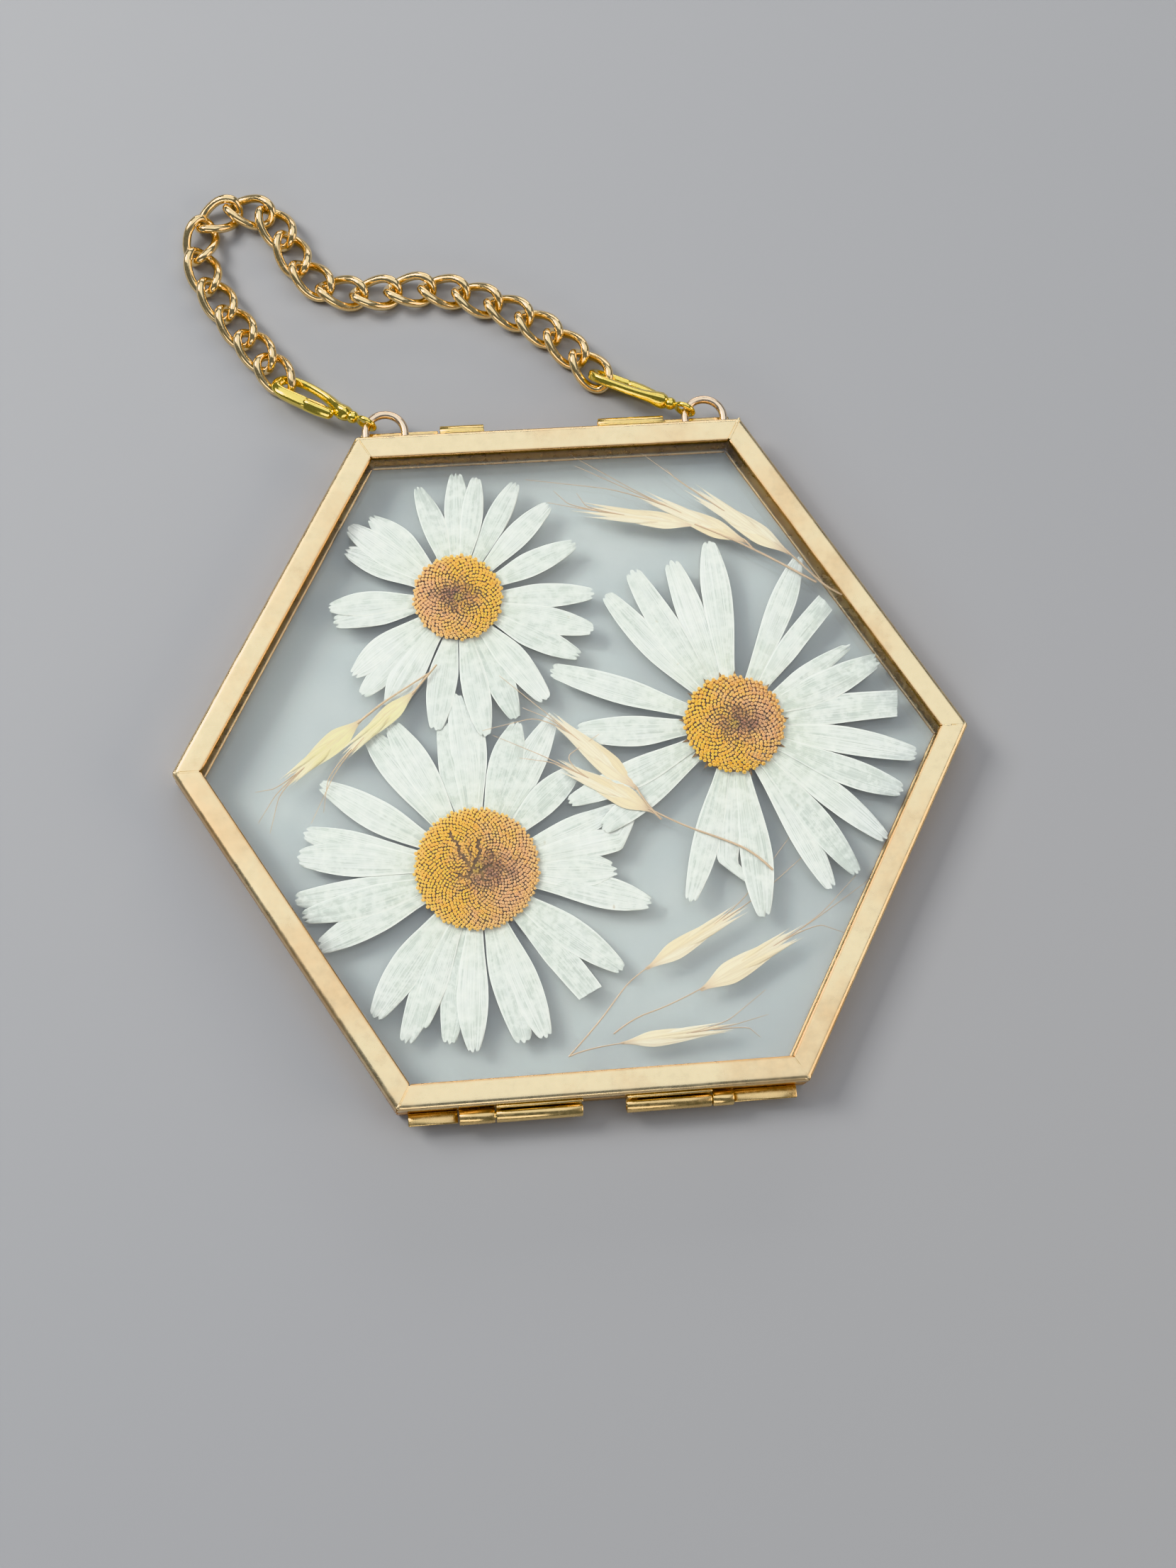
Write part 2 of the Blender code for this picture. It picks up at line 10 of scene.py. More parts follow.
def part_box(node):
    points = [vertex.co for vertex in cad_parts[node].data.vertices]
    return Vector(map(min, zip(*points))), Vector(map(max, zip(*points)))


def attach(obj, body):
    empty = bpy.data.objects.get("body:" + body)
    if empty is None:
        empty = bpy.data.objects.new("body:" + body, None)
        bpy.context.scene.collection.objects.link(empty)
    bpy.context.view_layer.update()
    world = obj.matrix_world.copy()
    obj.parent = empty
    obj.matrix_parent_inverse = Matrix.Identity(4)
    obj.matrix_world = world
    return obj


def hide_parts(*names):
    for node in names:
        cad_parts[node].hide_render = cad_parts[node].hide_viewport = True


# Looks of the pressed flower frame: brass leaves, glass, pressed daisies, dry grass and a chain.
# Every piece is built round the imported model, in its frame. Sizes are written in millimetres from
# the middle of the hexagon, and a mesh is moved to that frame and scaled to metres at its end.
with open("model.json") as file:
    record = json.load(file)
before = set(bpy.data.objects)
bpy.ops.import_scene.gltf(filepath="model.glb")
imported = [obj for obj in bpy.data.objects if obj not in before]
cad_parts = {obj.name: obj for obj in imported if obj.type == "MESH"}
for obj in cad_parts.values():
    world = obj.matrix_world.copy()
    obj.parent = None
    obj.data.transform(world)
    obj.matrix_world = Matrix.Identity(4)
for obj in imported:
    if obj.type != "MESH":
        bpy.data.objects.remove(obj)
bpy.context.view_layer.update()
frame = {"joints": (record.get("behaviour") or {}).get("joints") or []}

# ---------------------------------------------------------------------------------------------
# Table, light and camera
# The frame lies on its back on a plain pale table top, under a wide dim panel and a soft light
# from the upper left, with low warm ones right and in front and a narrow one behind for glints.
# ---------------------------------------------------------------------------------------------
TABLE_COLOUR = (0.39, 0.40, 0.42, 1)
TABLE_HALF_SIZE = 3.0
TABLE_DROP = 0.00002
CAMERA_PLACE = (-0.0239, -0.0304, 0.2977)
CAMERA_TURN = (14.29, -3.76, -4.69)
CAMERA_LENS = 48.8
WORLD_COLOUR = (0.74, 0.84, 1.0, 1)
WORLD_STRENGTH = 0.22
LAMPS = [
    # name, place, aim, width, depth, power, colour
    ("key_softbox", (-0.50, 0.36, 0.55), (0, 0.05, 0), 0.30, 0.30, 4.2, (1.0, 0.96, 0.90)),
    ("overhead_panel", (0.12, 0.42, 1.00), (0.02, 0.05, 0), 1.50, 1.30, 5.6, (0.94, 0.97, 1.0)),
    ("warm_fill", (0.62, -0.10, 0.30), (0, 0.05, 0), 0.40, 0.26, 1.3, (1.0, 0.82, 0.60)),
    ("front_fill", (-0.20, -0.62, 0.34), (0, 0.05, 0), 0.60, 0.20, 1.0, (1.0, 0.93, 0.82)),
    ("back_strip", (0.10, 0.80, 0.22), (0, 0.08, 0), 0.60, 0.12, 1.2, (1.0, 0.95, 0.88)),
]


def add_node(tree, kind, inputs=None, **settings):
    """Adds a node. inputs maps a socket's name or number to a value, or to the socket that feeds it."""
    node = tree.nodes.new(kind)
    for name, value in settings.items():
        setattr(node, name, value)
    for name, value in (inputs or {}).items():
        if isinstance(value, bpy.types.NodeSocket):
            tree.links.new(value, node.inputs[name])
        else:
            node.inputs[name].default_value = value
    return node


def noise_value(tree, vector, scale, detail=3.0, roughness=0.55):
    """A noise texture's value at a vector."""
    settings = {"Vector": vector, "Scale": scale, "Detail": detail, "Roughness": roughness}
    return add_node(tree, "ShaderNodeTexNoise", settings).outputs["Fac"]


def spread(tree, value, low, high, to_low=0.0, to_high=1.0):
    """Maps low..high to to_low..to_high and clamps the result."""
    inputs = {"Value": value, 1: low, 2: high, 3: to_low, 4: to_high}
    return add_node(tree, "ShaderNodeMapRange", inputs).outputs[0]


def calculate(tree, operation, first, second=0.0):
    """One step of arithmetic on two values."""
    return add_node(tree, "ShaderNodeMath", {0: first, 1: second}, operation=operation).outputs[0]


def mix_colour(tree, factor, first, second, blend="MIX"):
    """Mixes two colours."""
    inputs = {0: factor, 6: first, 7: second}
    node = add_node(tree, "ShaderNodeMix", inputs, data_type="RGBA", blend_type=blend)
    return node.outputs[2]


def new_material(name, roughness, metallic=0.0):
    """A material with a Principled shader, and its node tree and shader."""
    material = bpy.data.materials.new(name)
    material.use_nodes = True
    tree = material.node_tree
    shader = tree.nodes["Principled BSDF"]
    shader.inputs["Roughness"].default_value = roughness
    shader.inputs["Metallic"].default_value = metallic
    return material, tree, shader


table_mesh = bpy.data.meshes.new("table_top")
sides = ((-1, -1), (1, -1), (1, 1), (-1, 1))
corners = [(x * TABLE_HALF_SIZE, y * TABLE_HALF_SIZE, -TABLE_DROP) for x, y in sides]
table_mesh.from_pydata(corners, [], [(0, 1, 2, 3)])
table_finish, tree, shader = new_material("pale_table", 0.65)
shader.inputs["Base Color"].default_value = TABLE_COLOUR
table_mesh.materials.append(table_finish)
table_top = bpy.data.objects.new("table_top", table_mesh)
bpy.context.scene.collection.objects.link(table_top)

for name, place, aim, width, depth, power, colour in LAMPS:
    lamp_data = bpy.data.lights.new(name, "AREA")
    lamp_data.shape = "RECTANGLE"
    lamp_data.size = width
    lamp_data.size_y = depth
    lamp_data.energy = power
    lamp_data.color = colour
    lamp = bpy.data.objects.new(name, lamp_data)
    lamp.location = place
    lamp.rotation_mode = "QUATERNION"
    lamp.rotation_quaternion = (Vector(aim) - Vector(place)).to_track_quat("-Z", "Y")
    bpy.context.scene.collection.objects.link(lamp)

world = bpy.data.worlds.new("studio")
world.use_nodes = True
world.node_tree.nodes["Background"].inputs["Color"].default_value = WORLD_COLOUR
world.node_tree.nodes["Background"].inputs["Strength"].default_value = WORLD_STRENGTH
bpy.context.scene.world = world
bpy.context.scene.view_settings.view_transform = "Khronos PBR Neutral"

camera_data = bpy.data.cameras.new("camera")
camera_data.lens = CAMERA_LENS
camera_data.clip_start = 0.01
camera = bpy.data.objects.new("camera", camera_data)
camera.location = CAMERA_PLACE
camera.rotation_euler = [math.radians(turn) for turn in CAMERA_TURN]
bpy.context.scene.collection.objects.link(camera)
bpy.context.scene.camera = camera

# ---------------------------------------------------------------------------------------------
# Rims
# Each leaf's rim is six rails of thin brass sheet, folded into a channel with a wide face, an
# outer wall and a narrow lip. The rails meet in mitres that are filled and spotted with solder.
# ---------------------------------------------------------------------------------------------
MM = 0.001
rim_low, rim_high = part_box("front_rim")
back_low, back_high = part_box("back_rim")
HEXAGON_CENTRE = Vector(((rim_low.x + rim_high.x) / 2, (rim_low.y + rim_high.y) / 2, 0))
TO_ROW = Matrix.Translation(HEXAGON_CENTRE) @ Matrix.Scale(MM, 4)
CORNER_RADIUS = (rim_high.x - rim_low.x) / 2 / MM
FLAT_RADIUS = CORNER_RADIUS * math.cos(math.pi / 6)
LEAF_DEPTH = (back_high.z - back_low.z) / MM
FRAME_DEPTH = rim_high.z / MM
SHEET = 0.5
FACE_WIDTH = 3.6
LIP_WIDTH = 1.8
FOLD_RADIUS = 0.55
FACE_FALL = 0.09
RAIL_STEPS = 56
CUT_EDGE = 0.07
RAIL_HEADINGS = (90, 30, -30, -90, -150, 150)
# half of the slit left open at each corner, by the corner's heading
FRONT_SLITS = {0: 0.05, 60: 0.16, 120: 0.08, 180: 0.10, 240: 0.08, 300: 0.05}
BACK_SLITS = {0: 0.07, 60: 0.08, 120: 0.06, 180: 0.08, 240: 0.07, 300: 0.08}
# rail heading, place along the rail, place across it from the outer edge, reach and depth of a dent
FRONT_DENTS = [
    (90, -14.0, 3.2, 0.9, 0.09), (90, 9.0, 0.9, 1.6, 0.06), (-90, -8.0, 3.3, 1.2, 0.12),
    (-90, -19.0, 3.4, 0.8, 0.10), (-90, 12.0, 0.8, 2.2, 0.06), (30, 6.0, 3.2, 1.4, 0.10),
    (-30, -6.0, 3.2, 1.0, 0.08), (150, 11.0, 0.9, 1.5, 0.07), (-150, -9.0, 3.3, 1.1, 0.09),
]
# corner heading, distance in from the corner's point, radius and height of a spot of solder
FRONT_SOLDER = [(0, 1.3, 0.85, 0.24), (0, 2.9, 0.55, 0.14), (300, 1.7, 1.5, 0.24), (180, 0.7, 0.5, 0.2),
                (240, 0.8, 0.5, 0.2), (60, 0.6, 0.55, 0.2)]
BACK_SOLDER = [(heading, 0.8, 0.6, 0.25) for heading in (0, 60, 120, 180, 240, 300)]
TO_CORNER = 1 / math.cos(math.pi / 6)
WAVE_DEPTH = 0.035
# turn about the rail and stretch of each set of hairline scratches
METAL_HAIRLINES = [(0.45, 22.0), (1.9, 30.0), (2.7, 16.0)]
BLOTCH_SHIFT = (0.009, 0.002, 0)
BLOTCH_COLOUR = (0.62, 0.34, 0.26, 1)
# darker orange of the painted shade along the rims' inner edges, outer folds, walls and lips
EDGE_SHADE_COLOUR = (0.66, 0.31, 0.09, 1)


def mapped(tree, vector, turn=(0, 0, 0), scale=(1, 1, 1), shift=(0, 0, 0)):
    """A vector stretched, turned and moved."""
    inputs = {"Vector": vector, "Location": shift, "Rotation": turn, "Scale": scale}
    return add_node(tree, "ShaderNodeMapping", inputs).outputs[0]


def vector_step(tree, operation, first, second=(0, 0, 0), scale=1.0):
    """One step of arithmetic on vectors."""
    inputs = {0: first, 1: second, 3: scale}
    return add_node(tree, "ShaderNodeVectorMath", inputs, operation=operation).outputs[0]


def vector_length(tree, vector):
    """How long a vector is."""
    return add_node(tree, "ShaderNodeVectorMath", {0: vector}, operation="LENGTH").outputs["Value"]


def object_place(tree):
    """The place on the object, in metres."""
    return add_node(tree, "ShaderNodeTexCoord").outputs["Object"]


def stored(tree, name):
    """A number stored on the mesh."""
    return add_node(tree, "ShaderNodeAttribute", attribute_name=name).outputs["Fac"]


def hairlines(tree, place, scale, lines):
    """Crossing scratches. A line is its turn, its stretch, and the noise where it starts and is full."""
    scratches = None
    for turn, stretch, low, high in lines:
        line = noise_value(tree, mapped(tree, place, turn, stretch), scale, 1.0)
        line = spread(tree, line, low, high)
        scratches = line if scratches is None else calculate(tree, "MAXIMUM", scratches, line)
    return scratches


def add_relief(tree, shader, height, strength, distance):
    """Makes a height show in the light on a surface."""
    inputs = {"Height": height, "Strength": strength, "Distance": distance}
    relief = add_node(tree, "ShaderNodeBump", inputs)
    tree.links.new(relief.outputs["Normal"], shader.inputs["Normal"])


def heading_axes(heading):
    """Two flat unit vectors: along a heading in degrees, and square to it on the left."""
    angle = math.radians(heading)
    out = Vector((math.cos(angle), math.sin(angle), 0))
    return out, Vector((-out.y, out.x, 0))


def new_group(name, inputs, outputs):
    """An empty shader group with named sockets: the group, what it is given and what it gives."""
    group = bpy.data.node_groups.new(name, "ShaderNodeTree")
    for label, kind, value in inputs:
        socket = group.interface.new_socket(label, in_out="INPUT", socket_type=f"NodeSocket{kind}")
        socket.default_value = value
    for label, kind in outputs:
        group.interface.new_socket(label, in_out="OUTPUT", socket_type=f"NodeSocket{kind}")
    given = group.nodes.new("NodeGroupInput").outputs
    gives = group.nodes.new("NodeGroupOutput").inputs
    return group, given, gives


def build_worn_metal():
    """Handled metal: clouds of tarnish, a fine tooth in the gloss and crossing hairline scratches."""
    group, given, gives = new_group(
        "worn_metal",
        [
            ("Clean", "Color", (0.8, 0.6, 0.35, 1)), ("Tarnish", "Color", (0.5, 0.3, 0.15, 1)),
            ("Tarnish Amount", "Float", 0.5), ("Cloud Scale", "Float", 90.0),
            ("Smoothest", "Float", 0.2), ("Roughest", "Float", 0.4), ("Scratch Scale", "Float", 400.0),
        ],
        [("Color", "Color"), ("Roughness", "Float"), ("Height", "Float")],
    )
    place = object_place(group)
    cloud = noise_value(group, place, given["Cloud Scale"], 5.0, 0.62)
    fine_scale = calculate(group, "MULTIPLY", given["Cloud Scale"], 14.0)
    fine = noise_value(group, place, fine_scale, 3.0, 0.6)
    patch = calculate(group, "MULTIPLY", spread(group, cloud, 0.46, 0.72), given["Tarnish Amount"])
    lines = [((0.3, 0.2, turn), (1.0, wide, wide), 0.70, 0.76) for turn, wide in METAL_HAIRLINES]
    scratches = hairlines(group, place, given["Scratch Scale"], lines)
    mottled = mix_colour(group, patch, given["Clean"], given["Tarnish"])
    speckle = spread(group, fine, 0.3, 0.7, 0.90, 1.06)
    speckled = add_node(group, "ShaderNodeHueSaturation", {"Color": mottled, "Value": speckle})
    rough = add_node(
        group, "ShaderNodeMapRange",
        {"Value": fine, 1: 0.25, 2: 0.75, 3: given["Smoothest"], 4: given["Roughest"]},
    ).outputs[0]
    rough = calculate(group, "ADD", rough, calculate(group, "MULTIPLY", patch, 0.16))
    rough = calculate(group, "ADD", rough, calculate(group, "MULTIPLY", scratches, 0.12))
    height = calculate(group, "SUBTRACT", fine, calculate(group, "MULTIPLY", scratches, 0.35))
    group.links.new(speckled.outputs[0], gives["Color"])
    group.links.new(rough, gives["Roughness"])
    group.links.new(height, gives["Height"])
    return group


worn_metal = build_worn_metal()


def new_metal(name, bump, **wear):
    """A metal finish from the worn_metal group; wear sets the group's inputs by name."""
    material, tree, shader = new_material(name, 0.3, 1.0)
    wear_node = add_node(tree, "ShaderNodeGroup", node_tree=worn_metal)
    for label, value in wear.items():
        wear_node.inputs[label.replace("_", " ").title()].default_value = value
    add_relief(tree, shader, wear_node.outputs["Height"], 0.6, bump)
    tree.links.new(wear_node.outputs["Color"], shader.inputs["Base Color"])
    tree.links.new(wear_node.outputs["Roughness"], shader.inputs["Roughness"])
    return material, tree, shader, wear_node


def thicken(path, thickness):
    """The closed outline of sheet bent along a path of points, with its two cut edges rounded."""
    reach = thickness / 2
    left = []
    right = []
    points = [Vector(point) for point in path]
    for index, point in enumerate(points):
        along = (points[min(index + 1, len(points) - 1)] - points[max(index - 1, 0)]).normalized()
        side = Vector((-along.y, along.x)) * reach
        left.append(point + side)
        right.append(point - side)
    noses = []
    for end, inner in ((points[-1], points[-2]), (points[0], points[1])):
        out = (end - inner).normalized()
        side = Vector((-out.y, out.x))
        turns = [math.radians(turn) for turn in (60, 30, 0, -30, -60)]
        noses.append([end + (side * math.sin(turn) + out * math.cos(turn)) * reach for turn in turns])
    return left + noses[0] + right[::-1] + noses[1]


def join_outlines(work, outlines):
    """A closed bar through a row of outlines of points in space."""
    rings = [[work.verts.new(point) for point in outline] for outline in outlines]
    count = len(rings[0])
    for ring, following in zip(rings, rings[1:]):
        for index in range(count):
            beside = (index + 1) % count
            work.faces.new((ring[index], ring[beside], following[beside], following[index]))
    work.faces.new(rings[0][::-1])
    work.faces.new(rings[-1])
    return rings


def add_blob(work, centre, radii, turn=0.0):
    """A smooth egg-shaped lump."""
    place = Matrix.Translation(centre) @ Matrix.Rotation(turn, 4, "Z") @ Matrix.Diagonal((*radii, 1.0))
    bmesh.ops.create_uvsphere(work, u_segments=20, v_segments=12, radius=1.0, matrix=place)


def make_piece(name, work, finish, sharp_angle=38):
    """Turns an edit mesh in millimetres into a finished object at the origin."""
    bmesh.ops.transform(work, matrix=TO_ROW, verts=work.verts)
    bmesh.ops.recalc_face_normals(work, faces=work.faces)
    mesh = bpy.data.meshes.new(name)
    work.to_mesh(mesh)
    work.free()
    mesh.shade_smooth()
    mesh.set_sharp_from_angle(angle=math.radians(sharp_angle))
    mesh.materials.append(finish)
    piece = bpy.data.objects.new(name, mesh)
    bpy.context.scene.collection.objects.link(piece)
    return piece


def arc(centre, radius, start, end, steps):
    """Points on an arc, with its angles in degrees."""
    angles = [math.radians(start + (end - start) * step / steps) for step in range(steps + 1)]
    return [(centre[0] + radius * math.cos(a), centre[1] + radius * math.sin(a)) for a in angles]


def rail_path():
    """The middle of the folded sheet, as (inset from the outer wall, depth below the face)."""
    middle = SHEET / 2
    bend = middle + FOLD_RADIUS
    face = [FACE_WIDTH - middle - step * (FACE_WIDTH - middle - bend) / 7 for step in range(7)]
    wall_end = LEAF_DEPTH - bend
    path = []
    for inset in face:
        across = (inset - bend) / (FACE_WIDTH - bend)
        path.append((inset, middle + FACE_FALL * across ** 2))
    path += arc((bend, bend), FOLD_RADIUS, 270, 180, 5)
    path += [(middle, bend + (wall_end - bend) * step / 3) for step in (1, 2)]
    path += arc((bend, wall_end), FOLD_RADIUS, 180, 90, 5)
    path += [(LIP_WIDTH - middle, LEAF_DEPTH - middle)]
    return path


def dent_depth(dents, heading, along, inset, side_seed):
    """How far the face is pushed in at a place: slow waves from folding, and knocks."""
    wave = noise.noise(Vector((along * 0.11, inset * 0.25, heading * 0.37 + side_seed)))
    depth = WAVE_DEPTH * (wave + 1) / 2
    for dent_heading, dent_along, dent_inset, reach, deep in dents:
        if dent_heading == heading:
            away = ((along - dent_along) / reach) ** 2 + ((inset - dent_inset) / (0.6 * reach)) ** 2
            depth += deep * math.exp(-away)
    return depth


def add_rail(work, heading, face_z, inward, slits, dents, edge_shade_layer):
    """One folded rail between its two mitres."""
    out, along = heading_axes(heading)
    path = rail_path()
    slope = math.tan(math.pi / 6)
    half_rail = FLAT_RADIUS * slope
    slit_start = slits[(heading - 30) % 360]
    slit_end = slits[(heading + 30) % 360]
    parts = [-1, -1 + CUT_EDGE / half_rail]
    parts += [-1 + 2 * step / RAIL_STEPS for step in range(1, RAIL_STEPS)]
    parts += [1 - CUT_EDGE / half_rail, 1]
    outlines = []
    for part in parts:
        sheet = SHEET * (0.72 if abs(part) == 1 else 1.0)
        outline = []
        for inset, depth in thicken(path, sheet):
            reach = (FLAT_RADIUS - inset) * slope
            shift = part * reach + (slit_start * (1 - part) - slit_end * (1 + part)) / 2
            pushed = dent_depth(dents, heading, shift, inset, inward) if depth < 1.0 else 0.0
            pushed *= min(1.0, inset / 0.5)
            point = out * (FLAT_RADIUS - inset) + along * shift
            outline.append(Vector((point.x, point.y, face_z + inward * (depth + pushed))))
        outlines.append(outline)
    rings = join_outlines(work, outlines)
    # how much painted shade each point gets: most at the inner edge of the face, less down the wall and on
    # the lip, least on the outer fold
    for ring in rings:
        for vert, (inset, depth) in zip(ring, thicken(path, SHEET)):
            nose = max(0.0, (inset - FACE_WIDTH + 0.55) / 0.55) if depth < 1.0 else 0.0
            fold = max(0.0, 1 - math.hypot(inset - 0.2, depth - 0.3) / 0.5) * 0.6
            vert[edge_shade_layer] = max(nose, fold, 0.7 if depth > 0.9 else 0.0)


def add_mitre_fill(work, heading, face_z, inward):
    """Solder run under a mitre, seen at the bottom of the slit."""
    out, side = heading_axes(heading)
    side = side * 0.35
    outlines = []
    for inset, narrow in ((FACE_WIDTH - 0.25, 0.5), (FACE_WIDTH - 0.5, 1.0), (0.5, 1.0), (0.36, 0.5)):
        middle = out * (FLAT_RADIUS - inset) * TO_CORNER
        corners = [
            middle + side * narrow * turn + Vector((0, 0, face_z + inward * depth))
            for turn, depth in ((-1, 0.36), (-1, 0.16), (0, 0.1), (1, 0.16), (1, 0.36))
        ]
        outlines.append(corners)
    join_outlines(work, outlines)


def build_rim(name, face_z, inward, slits, dents, solder):
    """A whole rim: six rails, the solder under their mitres and the spots of solder on them."""
    work = bmesh.new()
    edge_shade_layer = work.verts.layers.float.new("edge")
    for heading in RAIL_HEADINGS:
        add_rail(work, heading, face_z, inward, slits, dents, edge_shade_layer)
        add_mitre_fill(work, heading - 30, face_z, inward)
    for heading, inward_by, radius, height in solder:
        angle = math.radians(heading)
        reach = FLAT_RADIUS * TO_CORNER - inward_by
        centre = (reach * math.cos(angle), reach * math.sin(angle), face_z + inward * (height + 0.02))
        add_blob(work, centre, (radius, radius * 0.5, height), angle)
    return make_piece(name, work, rim_brass)


rim_brass, tree, shader, wear = new_metal(
    "satin_brass", 0.000004,
    clean=(0.92, 0.76, 0.48, 1), tarnish=(0.74, 0.47, 0.24, 1), tarnish_amount=0.7, cloud_scale=48.0,
    smoothest=0.20, roughest=0.34, scratch_scale=260.0,
)
# a stain on the bottom rail, and painted shade, a darker orange, along the inner edge of the face, on the
# outer fold and down the wall and lip
place = object_place(tree)
blotch_away = vector_length(tree, mapped(tree, place, scale=(0.28, 1.0, 1.0), shift=BLOTCH_SHIFT))
blotch_grain = spread(tree, noise_value(tree, place, 1500.0, 4.0, 0.7), 0.35, 0.65, 0.15, 1.0)
blotch = calculate(tree, "MULTIPLY", spread(tree, blotch_away, 0.0015, 0.005, 0.8, 0.0), blotch_grain)
blotched = mix_colour(tree, blotch, wear.outputs["Color"], BLOTCH_COLOUR)
edge_shade = spread(tree, stored(tree, "edge"), 0.25, 0.95, 0.0, 0.75)
warm = mix_colour(tree, edge_shade, blotched, EDGE_SHADE_COLOUR)
tree.links.new(warm, shader.inputs["Base Color"])

front_rim = build_rim("front_rim_sheet", FRAME_DEPTH, -1, FRONT_SLITS, FRONT_DENTS, FRONT_SOLDER)
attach(front_rim, "front_leaf")
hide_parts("front_rim")
back_rim = build_rim("back_rim_sheet", 0.0, 1, BACK_SLITS, [], BACK_SOLDER)
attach(back_rim, "back_leaf")
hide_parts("back_rim")

# ---------------------------------------------------------------------------------------------
# Panes
# Each leaf holds a hexagon of clear 2 mm glass, cut and lightly ground along its edges. The
# front one has a few hairline scratches and faint wipe marks.
# ---------------------------------------------------------------------------------------------
GROUND_EDGE = 0.18
GLASS_TINT = (0.975, 0.99, 0.985, 1)
GLASS_IOR = 1.5
SHADOW_TINT = (0.92, 0.95, 0.94, 1)
# turn of each set of scratches, and the noise where they start
GLASS_HAIRLINES = [(0.5, 0.80), (1.25, 0.81), (2.6, 0.80)]


def build_glass():
    """Clear glass that lets lamps through, with scratches and wipe marks in its gloss."""
    material, tree, shader = new_material("clear_pane_glass", 0.0)
    shader.inputs["Base Color"].default_value = GLASS_TINT
    shader.inputs["IOR"].default_value = GLASS_IOR
    shader.inputs["Transmission Weight"].default_value = 1.0
    place = object_place(tree)
    lines = [((0, 0, turn), (1.0, 26.0, 1.0), low, low + 0.03) for turn, low in GLASS_HAIRLINES]
    scratches = hairlines(tree, place, 120.0, lines)
    smear = spread(tree, noise_value(tree, place, 45.0, 4.0), 0.52, 0.8, 0.0, 0.03)
    rough = calculate(tree, "ADD", smear, calculate(tree, "MULTIPLY", scratches, 0.2))
    tree.links.new(rough, shader.inputs["Roughness"])
    add_relief(tree, shader, scratches, 0.4, 0.00003)
    let_through = add_node(tree, "ShaderNodeBsdfTransparent", {"Color": SHADOW_TINT})
    lamp_ray = add_node(tree, "ShaderNodeLightPath").outputs["Is Shadow Ray"]
    surface = add_node(
        tree, "ShaderNodeMixShader",
        {0: lamp_ray, 1: shader.outputs["BSDF"], 2: let_through.outputs["BSDF"]},
    )
    tree.links.new(surface.outputs[0], tree.nodes["Material Output"].inputs["Surface"])
    return material


pane_glass = build_glass()
for leaf in ("front", "back"):
    low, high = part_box(f"{leaf}_glass")
    reach = (high.x - low.x) / 2 / MM
    bottom = low.z / MM
    top = high.z / MM
    inner = reach - GROUND_EDGE
    profile = ((inner, bottom), (reach, bottom + GROUND_EDGE), (reach, top - GROUND_EDGE), (inner, top))
    outlines = []
    for radius, z in profile:
        corners = [math.radians(60 * corner) for corner in range(6)]
        outlines.append([(radius * math.cos(a), radius * math.sin(a), z) for a in corners])
    work = bmesh.new()
    join_outlines(work, outlines)
    pane = make_piece(f"{leaf}_pane", work, pane_glass, 10)
    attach(pane, f"{leaf}_leaf")
    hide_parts(f"{leaf}_glass")

# ---------------------------------------------------------------------------------------------
# Hinges and catch
# Strips of thinner brass are soldered on the rims' walls: rolled knuckles round two pins on the
# bottom edge, sprung rolled tabs on the top edge, and plain folded ledges beside them.
# ---------------------------------------------------------------------------------------------
STRIP = 0.4
SOLDER_GAP = 0.05
KNUCKLE_RADIUS = 1.1
TAB_RADIUS = 1.0
CURL = 290
CURL_STEPS = 26
STRIP_CUT = 0.1

strip_brass, tree, shader, wear = new_metal(
    "rolled_brass", 0.000002,
    clean=(0.86, 0.64, 0.32, 1), tarnish=(0.62, 0.38, 0.18, 1), tarnish_amount=0.4, cloud_scale=120.0,
    smoothest=0.16, roughest=0.30, scratch_scale=420.0,
)
tab_brass, tree, shader, wear = new_metal(
    "tab_brass", 0.000002,
    clean=(0.88, 0.66, 0.28, 1), tarnish=(0.64, 0.40, 0.15, 1), tarnish_amount=0.3, cloud_scale=140.0,
    smoothest=0.12, roughest=0.24, scratch_scale=420.0,
)


def rolled_path(edge, roll_z, roll_radius, plate_end):
    """The middle of a strip that lies on the wall at edge (+1 top, -1 bottom) and then curls away."""
    bend = roll_radius - STRIP / 2
    wall = edge * (FLAT_RADIUS + SOLDER_GAP)
    axis = wall + edge * roll_radius
    upward = 1 if plate_end > roll_z else -1
    inner = plate_end - upward * STRIP / 2
    path = [(wall + edge * STRIP / 2, inner + (roll_z - inner) * step / 3) for step in range(3)]
    for step in range(CURL_STEPS + 1):
        angle = math.radians(CURL * step / CURL_STEPS)
        path.append((axis - edge * bend * math.cos(angle), roll_z - upward * bend * math.sin(angle)))
    return path


def ledge_path(edge, low_z, top_z, reach):
    """The middle of a strip that lies on the wall and folds outwards into a ledge."""
    wall = edge * (FLAT_RADIUS + SOLDER_GAP)
    near = wall + edge * STRIP / 2
    top = top_z - STRIP / 2
    path = [(near, low_z + STRIP / 2), (near, (low_z + top) / 2), (near, top - 0.15)]
    path += [(near + edge * 0.05, top - 0.05), (near + edge * 0.15, top)]
    return path + [(wall + edge * (reach - STRIP / 2), top)]


def build_strip(node, path, finish):
    """A bent strip along X, as long as its node's box, with its cut ends eased."""
    low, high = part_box(node)
    start = low.x / MM
    end = high.x / MM
    outlines = []
    for x, thinned in ((start, 0.6), (start + STRIP_CUT, 1.0), (end - STRIP_CUT, 1.0), (end, 0.6)):
        outlines.append([Vector((x, y, z)) for y, z in thicken(path, STRIP * thinned)])
    work = bmesh.new()
    join_outlines(work, outlines)
    return make_piece(f"{node}_strip", work, finish, 50)


